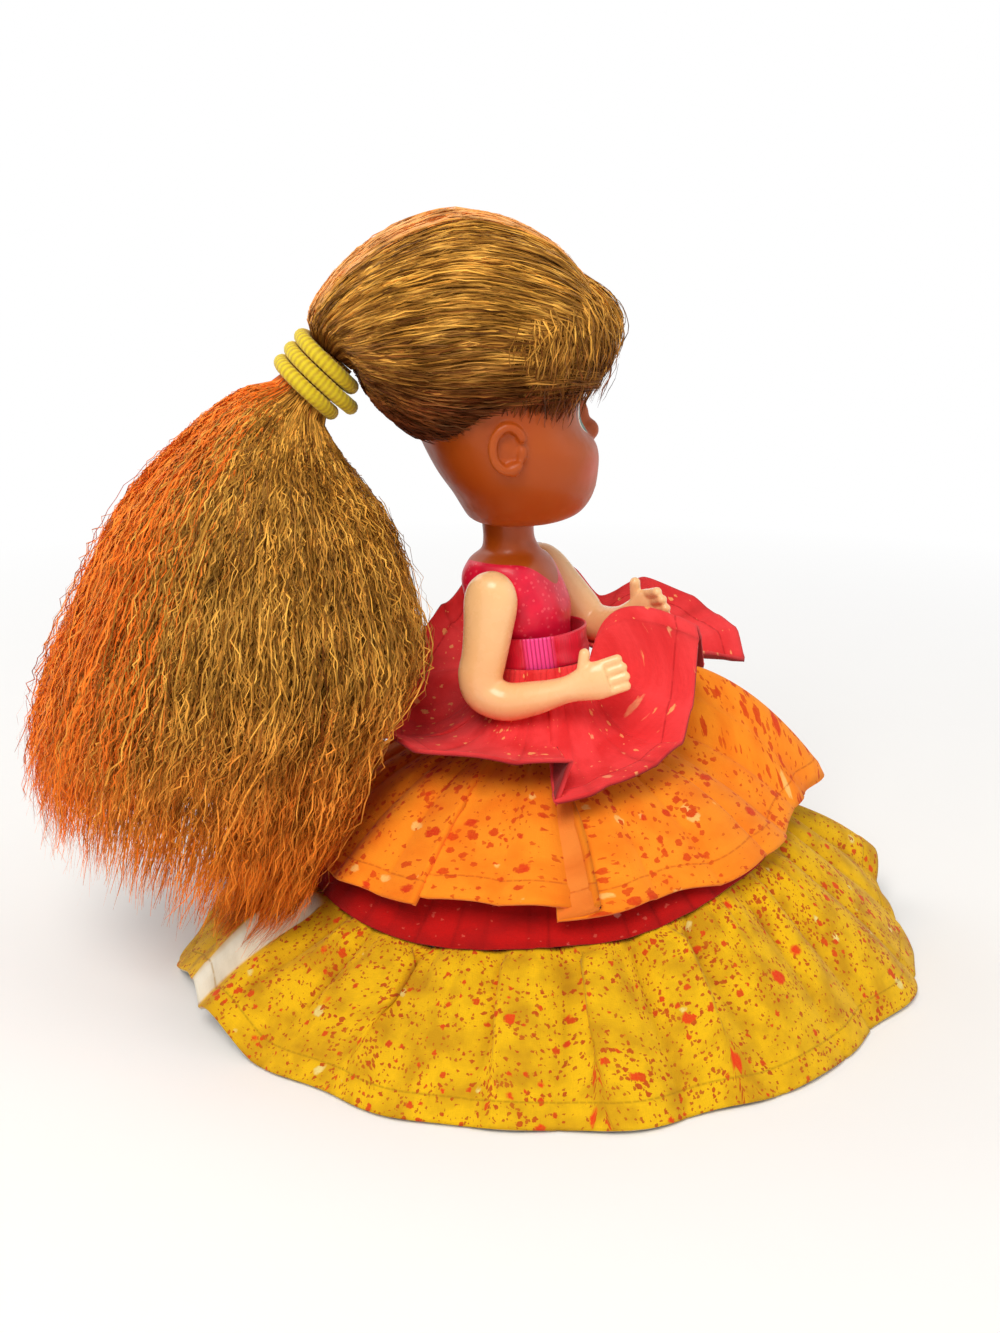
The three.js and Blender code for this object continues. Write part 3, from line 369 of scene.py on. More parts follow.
def printed_cloth(name, ground, deep, layers, reverse, thread):
    """Spattered cotton: a weave, spots of several sizes, a stitched hem and its own colour on the reverse."""
    finish = Finish(name, roughness=0.85, specular_ior_level=0.2, sheen_weight=0.06, sheen_roughness=0.5)
    flat = finish.add("UVMap", uv_map="Print").outputs[0]
    ragged = finish.noise(flat, 1300.0, 2.0, "2D")["Color"]
    place = finish.vector("MULTIPLY_ADD", ragged, RAGGED_EDGE, flat)[0]
    clusters = finish.noise(flat, 95.0, 2.0, "2D")["Fac"]
    tone = finish.stretch(finish.noise(flat, 140.0, 3.0, "2D")["Fac"], 0.3, 0.6)
    colour = finish.mix(tone, linear(deep), linear(ground))
    for cell, keep, gain, tint in layers:
        colour = finish.mix(spots(finish, place, cell, keep, gain, clusters), colour, linear(tint))
    warp = finish.noise(finish.vector("MULTIPLY", flat, (5200.0, 900.0, 1.0))[0], 1.0, 1.0, "2D")["Fac"]
    weft = finish.noise(finish.vector("MULTIPLY", flat, (900.0, 5200.0, 1.0))[0], 1.0, 1.0, "2D")["Fac"]
    weave = finish.math("ADD", warp, weft)
    grain = finish.stretch(weave, 0.7, 1.3)
    colour = finish.mix(finish.math("MULTIPLY", grain, 0.22), colour, linear(deep))
    back = finish.mix(tone, linear(reverse[0]), linear(reverse[1]))
    colour = finish.mix(finish.value("reverse"), colour, back)
    # Painted shade: colour darkens towards CREASE_SHADE in the valleys between folds
    shade = finish.vector("MULTIPLY", colour, CREASE_SHADE)[0]
    colour = finish.mix(finish.math("MULTIPLY", finish.value("painted_crease_shade"), 0.6), colour, shade)
    around = finish.add("SeparateXYZ", {0: flat}).outputs[0]
    dash = finish.math("LESS_THAN", finish.math("FRACT", finish.math("MULTIPLY", around, STITCHES)), 0.72)
    hem = bpy.context.scene.doll_sizes.hem
    from_line = finish.math("ABSOLUTE", finish.math("SUBTRACT", finish.value("hem"), hem))
    line = finish.math("SUBTRACT", 1.0, finish.math("MULTIPLY", from_line, 3.4), clamp=True)
    stitch = finish.math("MULTIPLY", line, finish.math("MULTIPLY_ADD", dash, 0.55, 0.45))
    colour = finish.mix(finish.math("MULTIPLY", stitch, 0.6), colour, linear(thread))
    finish.feed(finish.shader, {"Base Color": colour})
    finish.bump(finish.math("MULTIPLY_ADD", line, -2.4, weave), 0.4, 0.14)
    return finish.material


def hair_finish(name):
    """Synthetic hair: the colours on each strand's points, which carry painted shade and painted glints, with
    a warm gloss.
    """
    finish = Finish(name, roughness=0.42, specular_ior_level=0.18, specular_tint=(1.0, 0.72, 0.36, 1.0))
    strand = finish.add("Attribute", attribute_name="strand").outputs["Color"]
    finish.feed(finish.shader, {"Base Color": strand})
    return finish.material


def painted_shade_core_finish(name, colour, deep):
    """The mass under the strands, streaked and dark as painted shade of the hair inside."""
    finish = Finish(name, roughness=0.9, specular_ior_level=0.1)
    drawn_out = finish.vector("MULTIPLY", finish.object_place(), (900.0, 160.0, 160.0))[0]
    streaks = finish.noise(drawn_out, 1.0, 4.0)["Fac"]
    finish.feed(finish.shader, {"Base Color": finish.mix(streaks, linear(deep), linear(colour))})
    finish.bump(streaks, 0.6, 0.5)
    return finish.material


def moulded_vinyl(name, colour, deep, roughness, coat):
    """Skin-coloured vinyl: faint mottling, a few scuffs and a soft gloss."""
    finish = Finish(name, specular_ior_level=0.28, coat_weight=coat, coat_roughness=0.12)
    place = finish.object_place()
    mottle = finish.stretch(finish.noise(place, 45.0, 2.0)["Fac"], 0.25, 0.75)
    finish.feed(finish.shader, {"Base Color": finish.mix(mottle, linear(deep), linear(colour))})
    scuffs = finish.stretch(finish.noise(place, 420.0, 4.0)["Fac"], 0.35, 0.75)
    finish.feed(finish.shader, {"Roughness": finish.math("MULTIPLY_ADD", scuffs, 0.14, roughness - 0.05)})
    finish.bump(finish.noise(place, 1500.0, 2.0)["Fac"], 0.03, 0.03)
    return finish


# Cloth

# Width over which a hem thickens, the cloth's least height, and the distance given where there is no hem
HEM_STEP = 0.8
CLOTH_OVER_FLOOR = 0.02
NO_HEM = 99.0


def double_grid(around, along):
    """Corner columns, rows and sides of the faces of a closed double sheet, with its two edges."""
    i, j = (part.ravel() for part in np.meshgrid(np.arange(around), np.arange(along), indexing="ij"))
    k = np.arange(around)
    top, hem = np.zeros_like(k), np.full_like(k, along)
    outer, inner = np.zeros_like(i), np.ones_like(i)
    low, high = np.zeros_like(k), np.ones_like(k)
    columns = [(i, i, i + 1, i + 1), (i, i + 1, i + 1, i), (k, k, k + 1, k + 1), (k, k + 1, k + 1, k)]
    rows = [(j, j + 1, j + 1, j), (j, j, j + 1, j + 1), (hem,) * 4, (top,) * 4]
    sides = [(outer,) * 4, (inner,) * 4, (low, high, high, low), (low, low, high, high)]
    edge = [np.zeros(len(i) * 2, bool), np.ones(len(k) * 2, bool)]
    return (*(np.vstack([np.stack(part, 1) for part in parts]) for parts in (columns, rows, sides)),
            np.concatenate(edge))


def outward(grid):
    """Directions away from the body at each point of a closed grid."""
    round_step = np.roll(grid, -1, 0) - np.roll(grid, 1, 0)
    return unit(np.cross(np.gradient(grid, axis=1), round_step))


def cloth_piece(name, surface, relief, flat_width, along, hem_width, reverse_and_shade_share=None):
    """A gathered tier: surface(turn, fall) with folds of relief(turn, fall) millimetres on it.
    The last argument gives how much its outer side shows the reverse colour at (turn, fall): the reverse
    itself on the bottom tier, painted shade on the top tier."""
    sizes = bpy.context.scene.doll_sizes
    around = SKIRT_STEPS
    turn, fall = np.meshgrid(np.arange(around) / around, np.linspace(0.0, 1.0, along + 1), indexing="ij")
    grid = surface(turn, fall)
    proud = relief(turn, fall)
    grid = grid + outward(grid) * proud[..., None]
    steps = np.linalg.norm(np.diff(grid, axis=1), axis=2)
    run = np.concatenate([np.zeros((around, 1)), np.cumsum(steps, 1)], 1)
    to_hem = run[:, -1:] - run
    thicker = smooth((hem_width - to_hem) / HEM_STEP) * sizes.cloth * 0.5 if hem_width else 0.0
    half = sizes.cloth / 2 + thicker
    offset = outward(grid) * np.broadcast_to(half, to_hem.shape)[..., None]
    points = np.concatenate([(grid + offset).reshape(-1, 3), (grid - offset).reshape(-1, 3)])
    points[:, 2] = np.maximum(points[:, 2], CLOTH_OVER_FLOOR)
    columns, rows, sides, edge = double_grid(around, along)
    count = around * (along + 1)
    faces = sides * count + (columns % around) * (along + 1) + rows
    piece = mesh_piece(name, points, faces.tolist())
    add_uv(piece, "Print", np.stack([columns / around * flat_width, run[columns % around, rows]], -1) * MM)
    blocks = 4
    block = np.minimum(columns[:, :1] * blocks // around, blocks - 1)
    block = np.minimum(block, columns.min(1, keepdims=True) * blocks // around)
    shelf = block * 2 + np.where(edge[:, None], 0, sides)
    height = 0.03 + 0.92 * rows / along + np.where(edge[:, None], sides * 0.02, 0.0)
    unwrapped = np.stack([columns / around * blocks - block, (shelf + height) / (blocks * 2)], -1)
    add_uv(piece, "OFBake", unwrapped)
    # Share of the reverse colour on the outer side: the real reverse at the bottom tier's parting, painted
    # shade beside the body on the top tier
    shown = reverse_and_shade_share(turn, fall) if reverse_and_shade_share else np.zeros_like(fall)
    add_values(piece, "reverse", np.concatenate([shown.ravel(), np.ones(count)]))
    # Painted shade: how deep each point lies in a fold's valley, for darkening its colour
    add_values(piece, "painted_crease_shade", np.tile(smooth(-proud / max(-proud.min(), MM)).ravel(), 2))
    add_values(piece, "hem", np.tile(to_hem.ravel(), 2) if hem_width else np.full(count * 2, NO_HEM))
    return piece


def on_skirt(turn, radius, height):
    angle = turn * 2 * math.pi
    return np.stack([SKIRT_X + radius * np.cos(angle), SKIRT_Y + radius * np.sin(angle), height], -1)


def gathers(turn, fall, count, seed, soonest, latest):
    """Uneven rounded folds with creases between them, each fading out at its own share of the fall."""
    dice = np.random.default_rng(seed)
    edges = (np.arange(count) + dice.uniform(-0.3, 0.3, count)) / count
    edges = np.append(edges, edges[0] + 1.0)
    heights = dice.uniform(0.4, 1.0, count)
    ends = dice.uniform(soonest, latest, count)
    place = np.mod(turn - edges[0], 1.0) + edges[0]
    fold = np.clip(np.searchsorted(edges, place, side="right") - 1, 0, count - 1)
    share = (place - edges[fold]) / (edges[fold + 1] - edges[fold])
    arcs = np.sin(share * math.pi) ** 0.8 - 0.5
    return heights[fold] * arcs * (1.0 - smooth(fall / ends[fold]))


def tucks(turn, fall, folds):
    """Shifts round the skirt, in turns, and outwards, in millimetres, that lay folds over."""
    shift, out = np.zeros_like(turn), np.zeros_like(turn)
    for angle, width, overlap, depth in folds:
        away = (np.mod(turn * 360.0 - angle + 180.0, 360.0) - 180.0) / width
        opened = smooth(fall * 1.3)
        shift -= overlap / 360.0 * away * np.exp(-(away ** 2)) * opened
        out -= depth * np.tanh(1.5 * away) * np.exp(-((away / 2.2) ** 2)) * opened
    return shift, out


BASE_PROFILE = [(9.9, 54.6), (13, 47), (18, 42.5), (28, 36), (SEAM_RADIUS, SEAM_HEIGHT)]


SEAM_RISE = round_table([
    # angle, how far the seam between the base and the bottom tier is raised
    (0, 0), (90, -4.5), (135, -5.2), (180, -2.5), (225, 2.5), (260, 3), (300, 2), (340, 0.5),
])


def base_surface(turn, fall):
    profile = curve(BASE_PROFILE, fall)
    (rise,) = SEAM_RISE(turn)
    return on_skirt(turn, profile[..., 0], profile[..., 1] + rise * fall ** 4)


def base_relief(turn, fall):
    return 0.5 * gathers(turn, 1 - fall, 44, 11, 0.8, 1.4)


BOTTOM_HEM = round_table([
    # angle, hem radius, hem height
    (0, HEM_RADIUS, 0), (60, HEM_RADIUS, 0), (104, HEM_RADIUS + 2, 0), (114, HEM_RADIUS + 3, 6),
    (124, HEM_RADIUS, 0), (180, HEM_RADIUS, 0), (225, HEM_RADIUS + 0.5, 0), (254, HEM_RADIUS + 5, 0),
    (266, HEM_RADIUS + 1, 5), (276, HEM_RADIUS + 3.5, 11), (288, HEM_RADIUS, 6), (302, HEM_RADIUS + 2, 0),
    (330, HEM_RADIUS, 0),
])
BOTTOM_TUCKS = [
    # angle, width, overlap, depth
    (139, 4, 8.5, 1.0), (161, 3.5, 6, 0.8), (177, 3.5, 6, 0.8), (199, 3.5, 6, 0.8), (20, 4, 5, 0.8),
    (70, 4, 5, 0.8), (320, 4, 5, 0.8),
]
# The back of the bottom tier is parted: its far end stands over the near one and shows its reverse
PARTING_ANGLE = 107.5
PARTING_STEP = 2.8
PARTING_HEIGHT = 6.5
# In degrees: where the lift starts before the parting, how long it takes, how soft the reverse's edges are
PARTING_START = 20.0
PARTING_RUN = 18.0
PARTING_EDGE = 0.6
# Heights of the bottom tier's main folds, its belly, and its broad and fine gathers
HEM_FOLD = 1.2
HEM_BELLY = 2.2
BOTTOM_BROAD = 4.0
BOTTOM_FINE = 1.3


def parted(turn, fall):
    """How far the far end of the bottom tier is lifted, as a share."""
    from_parting = turn * 360.0 - PARTING_ANGLE
    lifted = smooth((from_parting + PARTING_START) / PARTING_RUN)
    dropped = smooth(from_parting / PARTING_STEP)
    return lifted * (1 - dropped) * smooth(fall / 0.35)


def parted_reverse(turn, fall):
    """How much of the reverse shows at the parting."""
    from_parting = turn * 360.0 - PARTING_ANGLE
    starts = smooth((from_parting + PARTING_EDGE) / PARTING_EDGE)
    ends = smooth((from_parting - PARTING_STEP + PARTING_EDGE) / PARTING_EDGE)
    return starts * (1 - ends) * smooth((fall - 0.05) / 0.1)


def bottom_surface(turn, fall):
    hem_radius, hem_height = BOTTOM_HEM(turn)
    shift, out = tucks(turn, np.minimum(fall / 0.15, 1.0 - 0.9 * fall), BOTTOM_TUCKS)
    (rise,) = SEAM_RISE(turn)
    angle = turn * 2 * math.pi
    fold = HEM_FOLD * fall * (np.cos(12 * angle) + 0.7 * np.cos(19 * angle + 2.1))
    radius = between(SEAM_RADIUS - 1.2, hem_radius, fall ** 0.92) + fold * (1 - 0.5 * fall)
    belly = np.sin(fall * math.pi) * HEM_BELLY * fall
    height = between(SEAM_HEIGHT - 0.75 + rise, hem_height, fall) + belly
    height = height + PARTING_HEIGHT * parted(turn, fall)
    return on_skirt(turn + shift, radius + out, height)


def bottom_relief(turn, fall):
    drift = turn + 0.004 * fall * np.sin(turn * 2 * math.pi * 7)
    opened = between(0.35, 1.0, smooth(fall / 0.12))
    broad = BOTTOM_BROAD * gathers(drift, fall, 25, 3, 0.9, 1.9)
    fine = BOTTOM_FINE * gathers(drift, fall, 76, 5, 0.3, 0.8)
    return (broad + fine) * opened


MIDDLE_HEM_RADIUS = 46
MIDDLE_HEM_HEIGHT = 30
MIDDLE_FOLD = 0.8
MIDDLE_PROFILE = [
    # radius, height
    (13.6, 47.6), (18, 45.2), (26, 42.8), (36, 37.6), (MIDDLE_HEM_RADIUS, MIDDLE_HEM_HEIGHT),
]
MIDDLE_HEM = round_table([
    # angle, hem radius, hem height, height of the puff above the hem
    (0, 47, 29, 0), (45, 46, 27, 0), (90, 46, 25, 0), (128, 47, 26.5, 0), (150, 46.5, 28.5, 0),
    (170, 46, 30, 0), (180, 48.5, 26.5, 0), (194, 46, 28.5, 0), (225, 47.5, 29, 0), (246, 49, 29, 0),
    (255, 49, 29.5, 2),
    (262, 52, 31, 9), (272, 59, 31, 13), (284, 54, 31, 13), (298, 49, 30, 7), (315, 48, 29, 0),
])
MIDDLE_TUCKS = [
    # angle, width, overlap, depth
    (177, 5.5, 20, 1.5), (228, 7, 11, 1.1), (140, 6, 10, 1.0), (300, 7, 12, 1.0), (60, 7, 10, 1.0),
]


def middle_surface(turn, fall):
    hem_radius, hem_height, puff = MIDDLE_HEM(turn)
    shift, out = tucks(turn, fall, MIDDLE_TUCKS)
    profile = curve(MIDDLE_PROFILE, fall)
    reach = fall ** 2
    fold = MIDDLE_FOLD * reach * np.cos(15 * turn * 2 * math.pi + 0.8)
    radius = profile[..., 0] + (hem_radius - MIDDLE_HEM_RADIUS) * reach + fold + out
    lift = puff * np.maximum(np.sin(fall * math.pi), 0.0) ** 0.7
    height = profile[..., 1] + (hem_height - MIDDLE_HEM_HEIGHT) * reach + lift
    return on_skirt(turn + shift, radius, height)


# A valley between the two front panels of the middle tier: its place and half width in degrees, and its depth
VALLEY_ANGLE = 172.0
VALLEY_WIDTH = 3.5
VALLEY_DEPTH = 3.0
# Heights of the middle tier's broad and fine gathers
MIDDLE_BROAD = 1.9
MIDDLE_FINE = 0.8


def middle_relief(turn, fall):
    drift = turn + 0.006 * fall * np.sin(turn * 2 * math.pi * 5)
    from_valley = (turn * 360.0 - VALLEY_ANGLE) / VALLEY_WIDTH
    valley = np.exp(-(from_valley ** 2)) * smooth((fall - 0.25) / 0.5)
    broad = MIDDLE_BROAD * gathers(drift, 1 - fall, 22, 8, 0.9, 1.7)
    fine = MIDDLE_FINE * gathers(drift, fall, 58, 9, 0.5, 0.95)
    return -VALLEY_DEPTH * valley + broad + fine


TOP_TABLE = round_table([
    # angle, hem radius, hem height, belly radius, belly height
    (0, 24.5, 77, 24.5, 60), (18, 24.5, 74, 24.5, 60), (38, 26, 66, 25, 59), (62, 30, 54, 17, 54),
    (90, 32, 48, 15, 43), (124, 34.5, 50, 13, 42), (150, 33, 50.5, 13, 42), (172, 33, 50, 13.5, 42.5),
    (178, 35.5, 44, 15, 43), (190, 33.5, 46, 15, 43), (222, 32, 49, 15, 43), (228, 32, 55, 13, 58),
    (234, 31.5, 67, 12, 74), (240, 30, 68.5, 12, 77), (245, 30.5, 66, 12, 72), (251, 31, 59.5, 13, 63),
    (264, 27.5, 59, 15, 60.5), (274, 27.5, 59, 16, 60), (279, 36, 57, 18, 58), (284, 46, 54, 20, 58),
    (288, 45.5, 59.5, 20, 58), (293, 44, 61.5, 21, 57), (300, 41.5, 65, 22, 57), (312, 36, 68.5, 24, 58),
    (325, 30, 65, 24, 58), (337, 26.5, 72, 24.5, 60), (350, 24.5, 77, 24.5, 60),
])
TOP_TUCKS = [
    # angle, width, overlap, depth
    (175, 6, 15, -1.5), (106, 6, 8, 0.9),
]
TOP_START_RADIUS = 10.3
TOP_START_HEIGHT = 60.2


def top_surface(turn, fall):
    hem_radius, hem_height, belly_radius, belly_height = TOP_TABLE(turn)
    shift, out = tucks(turn, fall, TOP_TUCKS)
    start_height = TOP_START_HEIGHT - SASH_RISE * np.sin(turn * 2 * math.pi - BODY_TURN)

    def bend(start, through, end):
        return start * (1 - fall) ** 2 + 2 * through * fall * (1 - fall) + end * fall ** 2

    radius = bend(TOP_START_RADIUS, belly_radius, hem_radius) + out
    return on_skirt(turn + shift, radius, bend(start_height, belly_height, hem_height))


def painted_shade_beside_body(turn, fall):
    """Painted shade on the back of the top tier beside the body, drawn in the cloth's dark reverse colour."""
    degrees = turn * 360.0
    beside = smooth((degrees - 66.0) / 14.0) * (1 - smooth((degrees - 122.0) / 14.0))
    return 0.55 * beside * smooth((fall - 0.05) / 0.2) * (1 - smooth((fall - 0.4) / 0.25))


def top_relief(turn, fall):
    drift = turn + 0.01 * fall * np.sin(turn * 2 * math.pi * 4)
    return 0.8 * gathers(drift, 1 - fall, 19, 21, 0.7, 1.5) + 0.4 * gathers(drift, fall, 52, 22, 0.5, 1.0)


# Hair

HAIR_OVER_FLOOR = 0.3
# Colours of the mass under the strands, dark as painted shade of the hair inside, in its lighter and darker
# streaks
BROWN_CORE = (0.27, 0.11, 0.035), (0.14, 0.05, 0.015)
CORAL_CORE = (0.74, 0.29, 0.11), (0.56, 0.20, 0.07)


def cut_even(paths, first, last, steps):
    """Strands from point number first to last of their paths, in even steps."""
    runs = np.cumsum(np.linalg.norm(np.diff(paths, axis=1), axis=2), 1)
    runs = np.concatenate([np.zeros((len(paths), 1)), runs], 1)
    numbers = np.arange(paths.shape[1])
    strands = np.empty((len(paths), steps, 3))
    for strand, path, run, ends in zip(strands, paths, runs, zip(first, last)):
        places = np.linspace(*np.interp(ends, numbers, run), steps)
        for axis in range(3):
            strand[:, axis] = np.interp(places, run, path[:, axis])
    return strands


def strand_piece(name, strands, away, width, colours, glint, seed):
    """Ribbons along strands. Away points out of the hair, colours are of strands or of their points, and
    glint is how much painted glints make their points brighter and darker."""
    dice = np.random.default_rng(seed)
    count, steps, _ = strands.shape
    heading = unit(np.gradient(strands, axis=1))
    side = unit(np.cross(heading, away))
    roll = dice.uniform(-1.0, 1.0, (count, 1, 1))
    across = unit(side * np.cos(roll) + np.cross(heading, side) * np.sin(roll))
    share = np.linspace(0.0, 1.0, steps)
    taper = np.minimum(1.0, 0.5 + share * 4) * np.minimum(1.0, 0.2 + (1 - share) * 8)
    half = width * dice.uniform(0.6, 1.3, (count, 1, 1)) * taper[None, :, None] / 2
    points = np.stack([strands - across * half, strands + across * half], 2).reshape(-1, 3)
    points[:, 2] = np.maximum(points[:, 2], HAIR_OVER_FLOOR)
    start = (np.arange(count)[:, None] * steps + np.arange(steps - 1)[None, :]).ravel() * 2
    faces = np.stack([start, start + 1, start + 3, start + 2], 1)
    piece = mesh_piece(name, points, faces.tolist())
    shelves = math.ceil(math.sqrt(count))
    strand = np.repeat(np.arange(count), steps - 1)
    step = np.tile(np.arange(steps - 1), count)
    low, high = (0.1 + 0.8 * (step + extra) / (steps - 1) for extra in (0, 1))
    cells = np.stack([np.stack([(strand % shelves) + u, (strand // shelves) + v], -1)
                      for u, v in ((0.2, low), (0.8, low), (0.8, high), (0.2, high))], 1)
    add_uv(piece, "OFBake", cells / shelves)
    # Painted glints: each point's colour made brighter or darker at random
    tints = colours * np.exp(dice.normal(0.0, glint, (count, steps, 1)))
    tints = tints / np.maximum(tints.max(-1, keepdims=True), 1.0)
    add_colours(piece, "strand", np.repeat(tints.reshape(-1, 3), 2, axis=0))
    return piece


def strand_colours(locks, dark, bright, seed):
    """Colours of strands between a dark and a bright one; strands with the same lock number are alike."""
    dice = np.random.default_rng(seed)
    of_lock = dice.random(locks.max() + 1)[locks]
    share = (0.68 * dice.beta(0.7, 1.0, len(locks)) + 0.32 * of_lock)[:, None]
    dark, bright = np.array(linear(dark)[:3]), np.array(linear(bright)[:3])
    return (between(dark, bright, share) * dice.uniform(0.85, 1.15, (len(locks), 1)))[:, None]


def painted_lock_gloss(locks, place, strength, seed):
    """Painted highlights and painted shade on strands: brighter and darker stretches, alike within a lock;
    place is millimetres along the hair.
    """
    dice = np.random.default_rng(seed)
    count = locks.max() + 1
    first, second = dice.uniform(0, 2 * math.pi, (2, count))[:, locks, None]
    pitch = dice.uniform(0.25, 0.55, count)[locks, None]
    wave = np.sin(place * pitch + first) + 0.7 * np.sin(place * pitch * 2.6 + second)
    return np.exp(strength * wave[..., None] * np.array([1.0, 1.2, 1.45]))


def ring_rows(rows):
    """Middles, upper half spans and half widths of hair rings from rows of an outer and an inner point."""
    outer = np.array([row[0] for row in rows])
    inner = np.array([row[1] for row in rows])
    return np.concatenate([(outer + inner) / 2, (outer - inner) / 2, np.array([[row[2]] for row in rows])], 1)


def on_rings(rows, share, angle, depth, squareness):
    """Points on a row of hair rings, at a share along it, an angle round it and a depth from its axis at 0
    to its skin at 1."""
    spot = curve(rows, share)
    across, rise = squared(angle, squareness)
    points = spot[..., 0:3] + spot[..., 3:6] * (rise * depth)[..., None]
    points[..., 0] += spot[..., 6] * across * depth
    return points


SCALP_ROWS = ring_rows([
    (hair_point(-12.5, 44.4), hair_point(-12, 17.4), 18.5),
    (hair_point(-6, 50.9), hair_point(-4, 14.4), 23),
    (hair_point(3, 55.2), hair_point(3.5, 12.4), 24.8),
    (hair_point(12, 56.4), hair_point(11, 12.4), 24.6),
    (hair_point(20.5, 54), hair_point(18, 14), 22.5),
    (hair_point(28.5, 49.4), hair_point(22.8, 17.6), 18),
    (hair_point(34.5, 43.4), hair_point(26.6, 22.4), 12),
    (tie_point(-TIE_HALF - 2.6, 7.2), tie_point(-TIE_HALF - 1.6, -7), 7.2),
    (tie_point(-TIE_HALF - 0.3, BUNDLE_RADIUS), tie_point(-TIE_HALF - 0.3, -BUNDLE_RADIUS), BUNDLE_RADIUS),
])
HAIRLINE = np.array([(-40, 26.4), (-10, 26.4), (2, 24.2), (8, 23.2), (13, 18.9), (17, 16.6), (40, 12)], float)
STREAK_HALF_WIDTH = 11.0


def scalp_strands(count, seed):
    """Combed strands from the hairline back to the elastic, their locks and which are in the streak."""
    dice = np.random.default_rng(seed)
    angle = dice.uniform(-0.95, math.pi + 0.95, count)
    locks = 46
    number = np.round(angle * locks / math.pi).astype(int)
    lock = number / locks * math.pi
    angle = between(angle, lock, 0.12)
    samples = 120
    share = np.linspace(0.0, 1.0, samples)[None, :].repeat(count, 0)
    phase = dice.uniform(0, 2 * math.pi, (count, 1))
    wild = np.where(dice.random((count, 1)) < 0.08, 4.0, 1.0)
    pitch = dice.uniform(30, 75, (count, 1))
    wave = dice.uniform(0.001, 0.007, (count, 1)) * np.sin(share * pitch + phase) * (1 - share) ** 0.5
    sway = 0.05 * np.sin(share * 6 + lock[:, None] * 5) * (1 - share)
    loose = wild * dice.uniform(-0.026, 0.026, (count, 1)) * np.sin(share * 9 + phase)
    depth = between(0.86, 1.012, dice.random((count, 1)) ** 0.45)
    depth = depth + (wild - 1) * 0.006 * np.sin(share * 9 + phase)
    depth = depth + 0.012 * np.sin(lock * 23)[:, None] * (1 - share)
    paths = on_rings(SCALP_ROWS, share, angle[:, None] + wave + sway + loose * (1.1 - share), depth, 2.3)
    height = np.interp(paths[..., 1], HAIRLINE[:, 0], HAIRLINE[:, 1]) + HEAD_BASE
    bare = paths[..., 2] < height + dice.uniform(-0.9, 0.8, (count, 1))
    first = np.where(bare.any(1), np.argmax(np.cumsum(bare[:, ::-1], 1)[:, ::-1] == 0, axis=1), 0)
    first = np.minimum(first + (dice.random(count) ** 2.2) * 62, samples * 0.72)
    strands = cut_even(paths, first, np.full(count, samples - 1.0), 21)
    strands[:, 1:-2] += dice.normal(0, 0.13, strands[:, 1:-2].shape)
    spot = strands[:, 6]
    widest = np.interp(spot[:, 1], (18, 33), (STREAK_HALF_WIDTH, BUNDLE_RADIUS * 0.6))
    coral = np.abs(spot[:, 0]) + dice.normal(0, 0.9, count) < widest
    coral = coral & (spot[:, 2] > HEAD_BASE + 31.4) & (spot[:, 1] > -5.0)
    return strands, number - number.min(), coral


# Combed hair away from the light, and how much light it has at heights over the head's base
HAIR_SHADE = (0.32, 0.095, 0.04)
LIT_HEIGHTS = (14.0, 24.0, 32.0, 43.0)
LIT_SHARES = (0.0, 0.08, 0.46, 1.0)


def combed_colours_with_painted_shade(strands, colours):
    """Colours of the points of combed strands, with painted shade towards the nape and beside the elastic."""
    lit = np.interp(strands[..., 2] - HEAD_BASE, LIT_HEIGHTS, LIT_SHARES)
    tied = smooth((np.linalg.norm(strands - tie_point(-TIE_HALF, 0.0), axis=-1) - 3.0) / 10.0)
    return between(np.array(linear(HAIR_SHADE)[:3]), colours, (lit * between(0.4, 1.0, tied))[..., None])


def away_from(points, centre):
    return unit(points - np.asarray(centre, float))


WHORL_Y = 2.0
FRINGE_SPREAD = 1.16
FRINGE_SIDE = math.radians(62)
FRINGE_ROWS = [
    # ahead of the whorl, height over the head's base
    (4.6, 50.9), (12, 46.4), (18.4, 41.8), (20.9, 38), (21.6, 34.2), (21.2, 30), (20.4, 26.6), (19.8, 23.4),
    (19.4, 20.4),
]


def fringe_points(side, share, proud):
    """Points of the fringe at an angle to the side, a share of the way down and millimetres proud of it."""
    row = curve(FRINGE_ROWS, share)
    ahead = row[..., 0] + proud
    across = ahead * FRINGE_SPREAD * np.sin(side)
    return np.stack([across, WHORL_Y - ahead * np.cos(side), HEAD_BASE + row[..., 1] + proud / 2], -1)


def fringe_end(side):
    """The share of the way down at which the fringe ends: higher over the face than at the temples."""
    return between(0.5, 0.77, np.minimum(np.abs(side) / FRINGE_SIDE, 1.0) ** 2.2)


